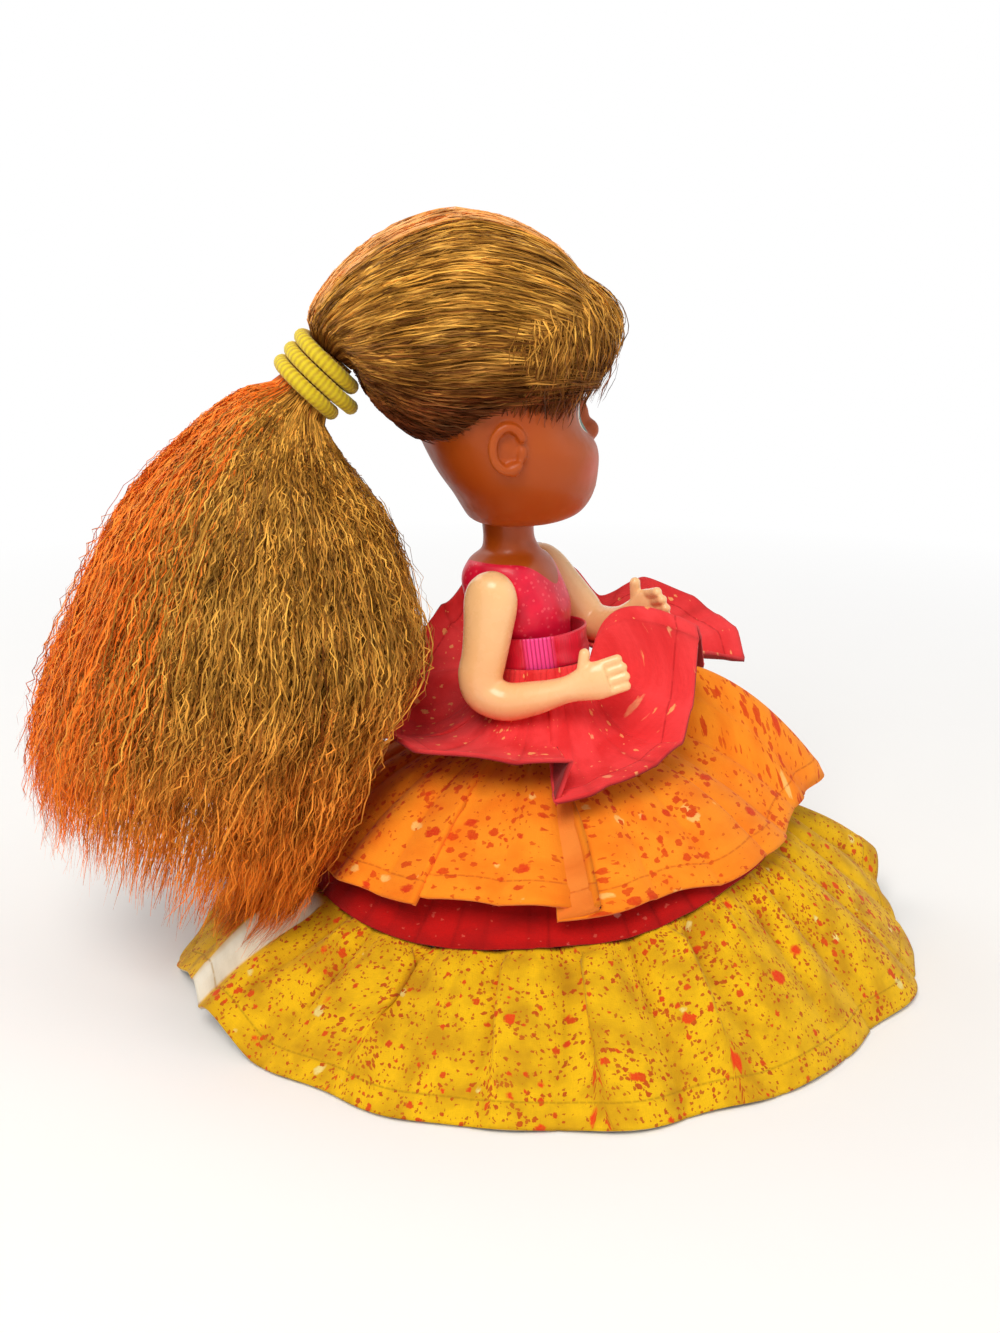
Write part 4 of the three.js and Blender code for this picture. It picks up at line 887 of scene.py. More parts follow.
def fringe_strands(count, seed):
    """Strands that fall from the parting over the forehead and temples with ragged ends, and their locks."""
    dice = np.random.default_rng(seed)
    side = (FRINGE_SIDE * 1.5 * (2 * dice.beta(1.25, 1.25, count) - 1))[:, None]
    lock = np.round(side * 20)
    side = between(side, lock / 20, 0.35)
    samples = 60
    share = np.linspace(0.0, 1.0, samples)[None, :].repeat(count, 0)
    outer = np.clip((np.abs(side) / FRINGE_SIDE - 0.8) / 0.5, 0.0, 1.0)
    top = dice.uniform(-0.02, 0.24, (count, 1)) + 0.2 * outer * dice.random((count, 1))
    temple = smooth((np.abs(side) / FRINGE_SIDE - 0.35) / 0.4)
    low = fringe_end(side) + dice.normal(0, 0.03, (count, 1))
    low = low + 0.1 * outer * dice.uniform(-1.2, 1.0, (count, 1))
    low = low + 0.26 * temple * dice.beta(1.0, 3.0, (count, 1))
    wild = np.where(dice.random((count, 1)) < 0.10, 2.6, 1.0)
    phase = dice.uniform(0, 2 * math.pi, (count, 1))
    drift = wild * np.radians(dice.normal(0, 6, (count, 1))) * share
    drift = drift + 0.03 * np.sin(share * 8 + lock) + 0.014 * np.sin(share * 24 + phase)
    drift = drift + np.sign(side) * dice.uniform(-0.1, 0.45, (count, 1)) * outer * share
    proud = dice.uniform(-2.2, 0.1, (count, 1)) + 0.25 * np.sin(lock * 3)
    proud = proud + (wild - 1) * 0.5 * np.sin(share * 3)
    proud = proud - 1.5 * smooth((share - 0.75) / 0.25) - 0.8 * smooth((0.2 - share) / 0.2)
    paths = fringe_points(side + drift, np.maximum(between(top, low, share), 0.0), proud)
    strands = cut_even(paths, np.zeros(count), np.full(count, samples - 1.0), 18)
    strands[:, 1:] += dice.normal(0, 0.09, strands[:, 1:].shape)
    return strands, (lock - lock.min())[:, 0].astype(int)


def fringe_core():
    """The dark mass under the fringe's strands, painted shade of the hair beneath them."""

    def place(turn, rise):
        side = FRINGE_SIDE * 0.96 * np.cos(turn) * np.sin(rise * math.pi) ** 0.4
        share = between(fringe_end(side) - 0.04, 0.045, rise)
        return fringe_points(side, share, -0.9 + 0.9 * np.sin(turn) * np.sin(rise * math.pi) ** 0.5)

    return shaped_ball("fringe_core", place, 48, 32)


TAIL_ROWS = ring_rows([
    (tie_point(-TIE_HALF, BUNDLE_RADIUS), tie_point(-TIE_HALF, -BUNDLE_RADIUS), BUNDLE_RADIUS),
    (tie_point(TIE_HALF, BUNDLE_RADIUS), tie_point(TIE_HALF, -BUNDLE_RADIUS), BUNDLE_RADIUS),
    (hair_point(50, 25.4), hair_point(34.5, 16.9), 8.5),
    (hair_point(59.5, 18.4), hair_point(31.5, 11.4), 15),
    (hair_point(72, 5.4), hair_point(25, 1.4), 23),
    (hair_point(81, -11.6), hair_point(21.5, -9.6), 29),
    (hair_point(87.5, -26.6), hair_point(20, -22.6), 33),
    (hair_point(92, -42.6), hair_point(25, -35.6), 34),
    (hair_point(94.5, -58.6), hair_point(30, -48.6), 35),
    (hair_point(96, -72.6), hair_point(36, -60.6), 36),
    (hair_point(96, -86.6), hair_point(42, -72.6), 36),
])
TAIL_END_CENTRE = np.array([0.0, 54.0, 48.0])
TAIL_END_RADII = np.array([35.0, 38.5, 35.0])
SWEPT = np.array([
    # radius about the neck that turning hair keeps clear of, and its height
    (75, -5), (74, 0), (63, 11), (52, 22), (50, 31), (43, 38), (41, 44), (37.5, 52), (30, 57), (22.6, 62),
    (20.6, 68), (20.6, 98.6), (23.6, 106.6),
])


def clear_of_skirt(points, margin):
    """Points moved out of the space that the hair leaves free as the head turns."""
    least = np.interp(points[..., 2], SWEPT[:, 1], SWEPT[:, 0] + margin)
    least = np.where(points[..., 2] > SWEPT[-1, 1], 0.0, least)
    distance = np.maximum(np.hypot(points[..., 0], points[..., 1]), 1e-6)
    grow = np.maximum(1.0, least / distance)
    moved = points.copy()
    moved[..., 0] *= grow
    moved[..., 1] *= grow
    return moved


def tail_strands(count, steps, shallowest, part, seed):
    """Crimped strands of the ponytail, or a part of each, with their locks and which of them are coral."""
    dice = np.random.default_rng(seed)
    angle = dice.uniform(0, 2 * math.pi, (count, 1))
    number = (angle[:, 0] * 11).astype(int)
    depth = between(shallowest, 1.0, dice.random((count, 1)) ** 0.6)
    samples = 80
    share = np.linspace(0.0, 1.0, samples)[None, :].repeat(count, 0)
    phase = dice.uniform(0, 2 * math.pi, (count, 1))
    loose = smooth(share / 0.6)
    wild = np.where(dice.random((count, 1)) < 0.10, 2.4, 1.0)
    bend = 0.07 * np.sin(share * 9 + phase) * loose + dice.normal(0, 0.07, (count, 1)) * loose
    puff = 1 + 0.05 * np.sin(share * 13 + phase * 2) * loose * wild
    towards_skirt = smooth(0.4 - np.sin(angle))
    squareness = 2.0 + 0.9 * towards_skirt * smooth(share / 0.7)
    paths = on_rings(TAIL_ROWS, share, angle + bend * wild, depth * puff, squareness)
    from_end = (paths - TAIL_END_CENTRE) / TAIL_END_RADII
    tips = np.sin(angle * 11) * 0.05 + np.sin(angle * 23 + 1) * 0.04
    power = 2.0 + 0.7 * towards_skirt
    reach = (np.abs(from_end) ** power[..., None]).sum(2) ** (1 / power)
    over = (reach * (1 + tips + dice.normal(0.03, 0.035, (count, 1))) > 1.0) & (from_end[..., 2] < 0)
    last = np.where(over.any(1), np.argmax(over, axis=1), samples - 1.0)
    first = dice.random(count) * last * (1 - part)
    strands = cut_even(paths, first, first + last * part, steps)
    heading = unit(np.gradient(strands, axis=1))
    lean = unit(np.cross(heading, unit(dice.normal(0, 1, (count, 1, 3)))))
    zigzag = np.where(np.arange(steps) % 2 == 0, 1.0, -1.0)[None, :, None]
    run = np.linspace(0.0, 1.0, steps)[None, :, None]
    from_tie = smooth((np.linalg.norm(strands - TIE, axis=2, keepdims=True) - 4.0) / 22.0)
    crimp = dice.uniform(0.15, 0.5, (count, 1, 1)) * (1 + 0.4 * run)
    strands = strands + (lean * zigzag * crimp + dice.normal(0, 0.24, strands.shape)) * from_tie
    outer = np.sin(angle[:, 0]) * depth[:, 0] + dice.normal(0, 0.17, count)
    return clear_of_skirt(strands, 0.4), number, outer > 0.56


# The ponytail's ends are lighter and more orange than the rest of it
TAIL_ENDS = (1.0, 0.47, 0.09)


def tail_colours(strands, colours):
    ends = 0.62 * smooth((70.0 - strands[..., 2:]) / 50.0)
    return between(colours, np.array(linear(TAIL_ENDS)[:3]), ends)


def core_of_node(name, node, shrink):
    """A copy of a hair node, drawn in under its strands by millimetres."""
    source = frame["nodes"][node]
    core = bpy.data.objects.new(name, source.data.copy())
    bpy.context.scene.collection.objects.link(core)
    only(core)
    bpy.ops.object.mode_set(mode="EDIT")
    bpy.ops.mesh.select_all(action="SELECT")
    bpy.ops.mesh.remove_doubles(threshold=0.00001)
    bpy.ops.object.mode_set(mode="OBJECT")
    inset = core.modifiers.new("inset", "DISPLACE")
    inset.strength = -shrink * MM
    inset.mid_level = 0.0
    bpy.ops.object.modifier_apply(modifier=inset.name)
    return core


def tail_core(depth):
    """The ponytail's dark inside, painted shade of the hair within it, a share of its rings and clear of the
    skirt.
    """

    def place(turn, rise):
        share = 0.02 + 0.72 * (1 - rise)
        inside = depth * np.sin(rise * math.pi) ** 0.35
        return clear_of_skirt(on_rings(TAIL_ROWS, share, turn, inside, 2.2), 2.5)

    return shaped_ball("ponytail_core", place, 64, 48)


ELASTIC_RADIUS = 6.2
ELASTIC_CORD = 2.85
ELASTIC_TURNS = 3
ELASTIC_SLACK = 2.2
ELASTIC_RIB = 0.95
ELASTIC_STEPS = 620
ELASTIC_SIDES = 14


def elastic_path(share):
    """Points along the elastic, with slack under its middle turn."""
    angle = share * ELASTIC_TURNS * 2 * math.pi
    under = np.maximum(0.0, -np.sin(angle)) ** 2
    radius = ELASTIC_RADIUS + np.where((share > 1 / 3) & (share < 2 / 3), ELASTIC_SLACK * under, 0.0)
    along = (share * 2 - 1) * TIE_HALF
    points = TIE + along[:, None] * TIE_ALONG + (np.sin(angle) * radius)[:, None] * TIE_UP
    points[:, 0] += np.cos(angle) * radius
    return points


def elastic_tube(steps, sides):
    """The ribbed cord of the elastic as a closed tube."""
    middle = elastic_path(np.linspace(0.0, 1.0, steps))
    heading = unit(np.gradient(middle, axis=0))
    side = unit(np.cross(heading, TIE_ALONG))
    other = np.cross(heading, side)
    run = np.concatenate([[0.0], np.cumsum(np.linalg.norm(np.diff(middle, axis=0), axis=1))])
    angle = np.arange(sides) / sides * 2 * math.pi
    rib = np.cos(run[:, None] * 2 * math.pi / ELASTIC_RIB + 2 * angle[None, :])
    radius = ELASTIC_CORD / 2 * (0.96 + 0.035 * rib)
    ring = np.cos(angle)[None, :, None] * side[:, None] + np.sin(angle)[None, :, None] * other[:, None]
    points = (middle[:, None] + ring * radius[..., None]).reshape(-1, 3)
    grid = np.meshgrid(np.arange(steps - 1), np.arange(sides), indexing="ij")
    row, column = (part.ravel() for part in grid)
    after = (column + 1) % sides
    faces = [list(quad) for quad in zip(row * sides + column, row * sides + after,
                                        (row + 1) * sides + after, (row + 1) * sides + column)]
    faces.append(list(range(sides))[::-1])
    faces.append([(steps - 1) * sides + corner for corner in range(sides)])
    return points, faces, run


# Vinyl parts

# Grain of the joined skins, and the share of each form that its end caps take
HEAD_VOXEL = 0.4
ARM_VOXEL = 0.25
HEAD_CAP = 0.04
TORSO_CAP = 0.03
LIMB_CAP = 0.02

# The head's colour, which the neck and chest share, is darker than the arms': partly the vinyl's own tone and
# partly painted shade
HEAD_DEEP = (0.65, 0.25, 0.03)
SKIN_DEEP = (0.97, 0.74, 0.49)
HEAD_ROWS = np.array([
    # height over the base, half width, ahead, behind
    (0, 7.4, 8, 7.4), (0.9, 10, 10.4, 8.8), (2.4, 13, 12.6, 9.8), (5.4, 16.5, 14.4, 11.6),
    (9.4, 19.4, 15.2, 14.4), (14.4, 21, 15.0, 17), (19.4, 21.4, 11.8, 19), (26, 21.4, 11.8, 20),
    (33.5, 20.5, 13.8, 20.5),
    (41, 17.5, 12.6, 19), (47, 12.4, 8.2, 15.2), (51, 6.4, 2.6, 9.8), (52.6, 1.6, -2.4, 5),
], float)
EAR_HEIGHT = 17.0
EAR_Y = 5.2


def head_place(turn, rise):
    """The head's skin, closed under the chin and on the crown."""
    inner, close = capped(rise, HEAD_CAP)
    row = curve(HEAD_ROWS, inner)
    across, depth = squared(turn, 2.2)
    half = (row[:, 3] + row[:, 2]) / 2
    middle = (row[:, 3] - row[:, 2]) / 2
    return np.stack([row[:, 1] * across * close, middle + half * depth * close, HEAD_BASE + row[:, 0]], -1)


def ear_pieces(side):
    """An ear: a sunk bowl inside a thick raised rim, with a lobe and a small flap in front."""
    height = HEAD_BASE + EAR_HEIGHT
    bowl = egg("ear", (0.9, 2.6, 3.9), (side * 20.8, EAR_Y, height))
    rim = []
    for step in range(13):
        angle = math.radians(-62 + step * 23.5)
        rim.append((side * 22.4, EAR_Y + 2.85 * math.sin(angle), height + 3.9 * math.cos(angle)))
    beads = [capsule("rim", 0.88, start, end) for start, end in zip(rim, rim[1:])]
    lobe = egg("lobe", (1.1, 1.5, 1.4), (side * 22.0, EAR_Y - 0.9, height - 3.7))
    flap = egg("flap", (0.9, 0.9, 1.5), (side * 21.7, EAR_Y - 2.6, height - 0.9))
    return [bowl, lobe, flap, *beads]


def head_skin():
    skull = shaped_ball("head_skin", head_place, 96, 72)
    nose = egg("nose", (2.4, 2.8, 2.4), (0, -13.4, HEAD_BASE + EAR_HEIGHT - 0.4))
    bridge = egg("bridge", (2.0, 2.3, 4.6), (0, -12.0, HEAD_BASE + 18.4))
    upper = egg("upper_lip", (3.3, 1.7, 1.2), (0, -14.3, HEAD_BASE + 8.2))
    lower = egg("lower_lip", (2.7, 1.8, 1.2), (0, -14.0, HEAD_BASE + 6.2))
    ears = [part for side in (-1, 1) for part in ear_pieces(side)]
    return fuse([skull, nose, bridge, upper, lower, *ears], HEAD_VOXEL, 6)


LASH_PAINT = (0.14, 0.07, 0.05)


def painted_face(finish, colour):
    """A plain painted doll's face: eyes, lashes, brows, lips and blush, the same on both sides."""
    place = finish.object_place()
    centre = NECK + np.array([0.0, 0.0, HEAD_BASE * MM])
    local = finish.vector("MULTIPLY", finish.vector("SUBTRACT", place, tuple(centre))[0], (1 / MM,) * 3)[0]
    parts = finish.add("SeparateXYZ", {0: local}).outputs
    flat = finish.add("CombineXYZ", {0: finish.math("ABSOLUTE", parts[0]), 1: parts[2]}).outputs[0]
    front = finish.math("LESS_THAN", parts[1], -4.0)

    def oval(x, z, wide, high, edge, turn=0.0):
        moved = finish.vector("SUBTRACT", flat, (x, z, 0.0))[0]
        tilt = {"Vector": moved, "Angle": math.radians(turn)}
        turned = finish.add("VectorRotate", tilt, rotation_type="Z_AXIS")
        scaled = finish.vector("MULTIPLY", turned.outputs[0], (1 / wide, 1 / high, 0.0))[0]
        distance = finish.vector("LENGTH", scaled)["Value"]
        inside = finish.math("SUBTRACT", 1.0, distance)
        return finish.math("MULTIPLY", finish.math("MULTIPLY", inside, edge, clamp=True), front)

    def crescent(outer, inner):
        return finish.math("SUBTRACT", oval(*outer), oval(*inner), clamp=True)

    layers = [
        (finish.math("MULTIPLY", oval(12.5, 11.5, 5.5, 4.2, 1.2), 0.4), (0.86, 0.36, 0.30)),
        (oval(8.0, 20.6, 3.9, 3.4, 9.0), (0.90, 0.86, 0.80)),
        (oval(7.9, 20.5, 2.9, 3.3, 9.0), (0.16, 0.38, 0.33)),
        (oval(7.9, 19.8, 2.1, 2.2, 2.0), (0.36, 0.62, 0.50)),
        (oval(7.9, 20.6, 1.4, 1.8, 9.0), (0.05, 0.04, 0.04)),
        (oval(6.9, 22.0, 0.75, 0.9, 9.0), (1.0, 1.0, 1.0)),
        (crescent((8.3, 21.1, 4.9, 4.1, 12.0), (8.1, 20.2, 4.7, 4.0, 12.0)), LASH_PAINT),
        (oval(12.9, 23.0, 1.7, 0.42, 8.0, -38.0), LASH_PAINT),
        (oval(12.3, 24.1, 1.7, 0.40, 8.0, -52.0), LASH_PAINT),
        (crescent((8.8, 27.2, 5.0, 2.4, 8.0), (9.0, 26.1, 5.6, 2.6, 8.0)), (0.36, 0.22, 0.12)),
        (oval(0.0, 7.3, 3.0, 1.7, 5.0), (0.70, 0.22, 0.18)),
        (oval(0.0, 7.25, 2.9, 0.2, 6.0), (0.48, 0.12, 0.14)),
    ]
    for mask, paint in layers:
        colour = finish.mix(mask, colour, linear(paint))
    return colour


TORSO_ROWS = np.array([
    # height, half width, ahead, behind, middle, squareness
    (36, 3, 4, 4, -6, 2.4), (37.5, 4, 5.2, 5.2, -6, 2.4), (46.6, 4, 6.2, 6.2, -6, 2.4),
    (48.4, 7.8, 6.8, 6.8, -6, 2.2), (51, 8.4, 7, 7, -6, 2.2), (56, 7.7, 6.7, 6.8, -5.8, 2),
    (61, 7, 6.4, 6.8, -5.2, 2), (66, 8.4, 8, 7.8, -3, 2.1),
    (70.5, 9.2, 9.6, 9.2, -1, 2.6), (75.5, 9.2, 8.6, 9.4, 0.2, 2.6), (78.8, 8.4, 7, 8, 0.4, 2.4),
    (81, 5.6, 5.2, 6.0, 0.3, 2), (83, 5.0, 4.2, 5.6, 0.4, 2), (86.3, 5.0, 4.0, 5.8, 0.5, 2),
], float)


def torso_place(turn, rise):
    inner, close = capped(rise, TORSO_CAP)
    row = curve(TORSO_ROWS, inner)
    across, depth = squared(turn, row[:, 5])
    reach = np.where(depth < 0, row[:, 2], row[:, 3])
    return np.stack([row[:, 1] * across * close, row[:, 4] + reach * depth * close, row[:, 0]], -1)


NECKLINE_HEIGHT = 79.4
NECKLINE_FRONT_DIP = 4.6
NECKLINE_BACK_DIP = 1.2


def neckline(points):
    """How far a point of the torso is under the painted top's edge, in millimetres."""
    towards_front = smooth((1.0 - points[:, 1]) / 8.0)
    middle = smooth(1.0 - np.abs(points[:, 0]) / 7.5)
    edge = NECKLINE_HEIGHT - NECKLINE_FRONT_DIP * towards_front * middle
    edge = edge - NECKLINE_BACK_DIP * (1 - towards_front) * middle
    return edge - points[:, 2]


def limb_place(rows):
    """A place function for a limb along rows of x, y, z, half width across and half width in the plane."""
    rows = np.array(rows, float)

    def place(turn, rise):
        inner, close = capped(rise, LIMB_CAP)
        spot = curve(rows, inner)
        ahead, behind = curve(rows, inner + 0.012)[:, :3], curve(rows, inner - 0.012)[:, :3]
        heading = unit(ahead - behind)
        side = unit(np.array([1.0, 0.0, 0.0]) - heading * heading[:, :1])
        thick = np.cross(heading, side)
        across = side * (spot[:, 3] * np.cos(turn))[:, None] + thick * (spot[:, 4] * np.sin(turn))[:, None]
        return SHOULDER + spot[:, :3] + across * close[:, None]

    return place


BENT_ARM = [
    (ARM_X - 0.2, 0, 5.3, 0.8, 0.8), (ARM_X - 0.2, 0, 4.6, 2.2, 2.6), (ARM_X - 0.1, 0, 2.8, 3.4, 4.3),
    (ARM_X, 0.1, 0, 3.8, 5.1), (ARM_X + 0.4, 0.5, -5.5, 3.9, 4.7), (ARM_X + 1, 1.1, -11, 3.8, 4.3),
    (ARM_X + 1.5, 1.6, -14.6, 3.7, 4.3), (ARM_X + 1.7, 0.6, -17.4, 3.6, 4.1),
    (ARM_X + 1.6, -3.4, -18.8, 3.4, 3.7), (ARM_X + 1.2, -9, -17.6, 3.1, 3.2),
    (ARM_X + 0.4, -15.2, -15.4, 2.4, 2.5), (ARM_X - 0.1, -18, -14.3, 2.1, 3.1),
    (ARM_X - 0.6, -20.7, -13.3, 1.9, 3.6), (ARM_X - 1, -22.6, -12.6, 1.5, 3.2),
]


def raised_arm_rows():
    slope = math.radians(44)
    upper = [
        (-0.2, -5.3, 0.8, 0.8), (-0.2, -4.6, 2.2, 2.6), (-0.1, -2.8, 3.4, 4.3), (0.0, 0.0, 3.8, 5.1),
        (0.4, 5.5, 3.9, 4.7), (0.7, 10.5, 3.8, 4.2), (0.6, 14.0, 3.6, 3.9),
    ]
    rows = [(ARM_X + out, -far * math.cos(slope), -far * math.sin(slope), across, thick)
            for out, far, across, thick in upper]
    return rows + [
        (ARM_X - 0.2, -13.4, -10, 3.4, 3.6), (ARM_X - 1.8, -17, -8.8, 3, 3.2),
        (ARM_X - 3.4, -20.2, -6.2, 2.4, 2.5), (ARM_X - 4.2, -22, -5.2, 2.1, 3.1),
        (ARM_X - 5, -24, -4.2, 1.9, 3.6), (ARM_X - 5.6, -25.4, -3.6, 1.5, 3.2),
    ]


def arm_skin(name, rows, curl, mirror):
    """An arm with its fingers and thumb, on the doll's left or mirrored to its right."""
    knuckles = SHOULDER + np.array(rows[-1][:3])
    heading = unit(np.array(rows[-1][:3]) - np.array(rows[-3][:3]))
    up = unit(np.cross(heading, (1.0, 0.0, 0.0)))
    pieces = [shaped_ball(name, limb_place(rows), 48, 96)]
    for offset in (-2.6, -0.9, 0.9, 2.6):
        start = knuckles + up * offset - heading * 1.2
        end = start + heading * (4.2 - abs(offset) * 0.25) + np.array([-curl, 0.0, 0.0])
        pieces.append(capsule("finger", 0.95, start, end))
    thumb = knuckles - heading * 4.4 + up * 2.2
    pieces.append(capsule("thumb", 1.05, thumb, thumb + heading * 1.6 + up * 3.2))
    arm = fuse(pieces, ARM_VOXEL, 4)
    if mirror:
        middle = Matrix.Translation(Vector((NECK[0] * 2, 0, 0))) @ Matrix.Scale(-1, 4, (1, 0, 0))
        arm.data.transform(middle)
        arm.data.flip_normals()
    turn_with_body(arm)
    return arm


# What a user can change


def colour_property(label, value):
    meaning = f"Colour of the {label.lower()}"
    return FloatVectorProperty(name=label, description=meaning, subtype="COLOR_GAMMA", size=3, min=0.0,
                               max=1.0, default=value)


def length_property(label, meaning, value, least, most):
    in_millimetres = f"{meaning} in millimetres"
    return FloatProperty(name=label, description=in_millimetres, default=value, min=least, max=most)


def count_property(label, meaning, value, least):
    return IntProperty(name=label, description=meaning, default=value, min=least)


class DollColours(PropertyGroup):
    arms: colour_property("Arms and legs", (0.98, 0.80, 0.58))
    # Head, neck and chest: darker than the arms, partly the vinyl's own tone and partly painted shade
    head: colour_property("Head", (0.68, 0.31, 0.06))
    top: colour_property("Painted top", (0.92, 0.07, 0.23))
    shoes: colour_property("Shoes", (0.80, 0.13, 0.30))
    # Strands take colours between those in shade and in light: partly real differences between strands,
    # partly painted shade and painted light; the coral lit on top is painted light
    hair_dark: colour_property("Hair in shade", (0.33, 0.13, 0.03))
    hair_bright: colour_property("Hair in light", (1.00, 0.73, 0.30))
    coral_dark: colour_property("Coral hair in shade", (1.00, 0.44, 0.08))
    coral_bright: colour_property("Coral hair in light", (1.00, 0.64, 0.27))
    coral_lit: colour_property("Coral hair on top", (1.00, 0.78, 0.52))
    elastic: colour_property("Elastic", (0.90, 0.80, 0.02))
    sash: colour_property("Satin sash", (0.90, 0.07, 0.22))
    red: colour_property("Red cloth", (0.75, 0.03, 0.02))
    yellow: colour_property("Yellow cloth", (0.93, 0.73, 0.03))
    orange: colour_property("Orange cloth", (1.00, 0.58, 0.11))
    pink: colour_property("Pink cloth", (0.95, 0.26, 0.27))


class DollSizes(PropertyGroup):
    cloth: length_property("Cloth", "Thickness of the cloth", 0.4, 0.1, 1.0)
    hem: length_property("Hem", "Stitching to hem's edge", 4.5, 1.0, 8.0)
    strand: length_property("Strand", "Width of a strand", 0.22, 0.05, 1.0)
    tail_strands: count_property("Ponytail strands", "Strands in the ponytail", 5600, 500)
    frizz_strands: count_property("Frizz", "Short ends on the ponytail", 13000, 500)
    scalp_strands: count_property("Combed strands", "Strands on the head", 8200, 500)
    fringe_strands: count_property("Fringe strands", "Strands in the fringe", 4400, 100)


# Operators

# Studio, in metres: the lamps' colour and aim, the floor, and how strongly the white world lights the doll
LAMP_COLOUR = (1.0, 0.955, 0.89)
LAMP_AIM = (0, 0, 0.07)
FLOOR_WIDTH = 8.0
FLOOR_DROP = 0.0004
WORLD_LIGHT = 0.45
PAPER_DEEP = (0.95, 0.95, 0.95, 1)
PAPER_LIGHT = (0.97, 0.97, 0.97, 1)


class DOLL_OT_studio(Operator):
    """Camera, lamps and a white floor"""
    bl_idname = "doll.studio"
    bl_label = "Studio"

    def execute(self, context):
        scene = context.scene
        scene.view_settings.view_transform = "Standard"
        view = bpy.data.cameras.new("photo_camera")
        view.lens = CAMERA_LENS
        view.sensor_width = 36.0
        camera = bpy.data.objects.new("photo_camera", view)
        scene.collection.objects.link(camera)
        camera.location = Vector(CAMERA_PLACE) + Vector(NECK)
        level = math.cos(CAMERA_PITCH)
        looking = Vector((math.cos(CAMERA_TURN) * level, -math.sin(CAMERA_TURN) * level,
                          -math.sin(CAMERA_PITCH)))
        camera.rotation_euler = looking.to_track_quat("-Z", "Y").to_euler()
        scene.camera = camera
        lamps = [
            # name, place, width, watts
            ("key", (-0.70, 0.34, 0.95), 0.6, 9.5),
            ("fill", (-0.35, -0.95, 0.5), 0.8, 1.6),
            ("rear", (0.6, 0.7, 0.9), 0.8, 3.0),
        ]
        for name, place, width, watts in lamps:
            light = bpy.data.lights.new(name, "AREA")
            light.size = width
            light.energy = watts
            light.color = LAMP_COLOUR
            lamp = bpy.data.objects.new(name, light)
            lamp.location = place
            shining = Vector(LAMP_AIM) - lamp.location
            lamp.rotation_euler = shining.to_track_quat("-Z", "Y").to_euler()
            scene.collection.objects.link(lamp)
        self.surroundings(scene)
        bpy.ops.object.select_all(action="DESELECT")
        bpy.ops.mesh.primitive_plane_add(size=FLOOR_WIDTH, location=(0, 0, -FLOOR_DROP))
        floor = context.active_object
        floor.name = "floor"
        floor.data.materials.append(self.paper())
        return {"FINISHED"}

    def paper(self):
        """White paper that keeps the doll's shadow near it and is plain white further off."""
        paper = Finish("white_paper", roughness=0.9)
        place = paper.object_place()
        speckle = paper.noise(place, 40.0)["Fac"]
        paper.feed(paper.shader, {"Base Color": paper.mix(speckle, PAPER_DEEP, PAPER_LIGHT)})
        distance = paper.vector("LENGTH", place)["Value"]
        seen = paper.add("LightPath").outputs
        looked_at = paper.math("MAXIMUM", seen["Is Camera Ray"], seen["Is Glossy Ray"])
        looked_at = paper.math("MAXIMUM", looked_at, seen["Is Transmission Ray"])
        far = paper.math("MULTIPLY", paper.stretch(distance, 0.10, 0.42), looked_at)
        white = paper.add("Emission", {"Color": (1, 1, 1, 1), "Strength": 1.0})
        both = paper.add("MixShader", {0: far, 1: paper.shader.outputs[0], 2: white.outputs[0]})
        output = paper.tree.nodes["Material Output"]
        paper.feed(output, {"Surface": both.outputs[0]})
        return paper.material

    def surroundings(self, scene):
        """A white world to look at that lights the doll more softly than it shows."""
        world = bpy.data.worlds.new("white_surroundings")
        world.use_nodes = True
        scene.world = world
        nodes, links = world.node_tree.nodes, world.node_tree.links
        path = nodes.new("ShaderNodeLightPath")
        seen = None
        for ray in ("Is Camera Ray", "Is Glossy Ray", "Is Transmission Ray"):
            if seen is None:
                seen = path.outputs[ray]
                continue
            either = nodes.new("ShaderNodeMath")
            either.operation = "MAXIMUM"
            links.new(seen, either.inputs[0])
            links.new(path.outputs[ray], either.inputs[1])
            seen = either.outputs[0]
        strength = nodes.new("ShaderNodeMapRange")
        strength.inputs["To Min"].default_value = WORLD_LIGHT
        strength.inputs["To Max"].default_value = 1.0
        links.new(seen, strength.inputs["Value"])
        links.new(strength.outputs[0], nodes["Background"].inputs["Strength"])
        nodes["Background"].inputs["Color"].default_value = (1, 1, 1, 1)


TOP_DEEP = (0.80, 0.05, 0.20)
GLITTER = (0.97, 0.42, 0.46)


class DOLL_OT_torso(Operator):
    """Torso and neck with the painted top"""
    bl_idname = "doll.torso"
    bl_label = "Torso"

    def execute(self, context):
        colours = context.scene.doll_colours
        torso = shaped_ball("torso_shell", torso_place, 128, 160)
        points = np.zeros(len(torso.data.vertices) * 3)
        torso.data.vertices.foreach_get("co", points)
        add_values(torso, "under_edge", neckline((points.reshape(-1, 3) - NECK) / MM))
        only(torso)
        bpy.ops.object.shade_smooth()
        finish = moulded_vinyl("painted_torso", colours.head, HEAD_DEEP, 0.4, 0.15)
        skin = finish.shader.inputs["Base Color"].links[0].from_socket
        place = finish.object_place()
        glitter = finish.add("TexVoronoi", {"Vector": place, "Scale": 900.0})
        speck = finish.math("LESS_THAN", glitter.outputs["Distance"], 0.26)
        tone = finish.stretch(finish.noise(place, 260.0, 3.0)["Fac"], 0.3, 0.7)
        top = finish.mix(tone, linear(TOP_DEEP), linear(colours.top))
        top = finish.mix(finish.math("MULTIPLY", speck, 0.35), top, linear(GLITTER))
        painted = finish.math("MULTIPLY_ADD", finish.value("under_edge"), 5.0, 0.5, clamp=True)
        finish.feed(finish.shader, {"Base Color": finish.mix(painted, skin, top)})
        turn_with_body(torso)
        finish_piece(torso, finish.material, "body", "painted_top", "torso_front", "torso_back")
        return {"FINISHED"}


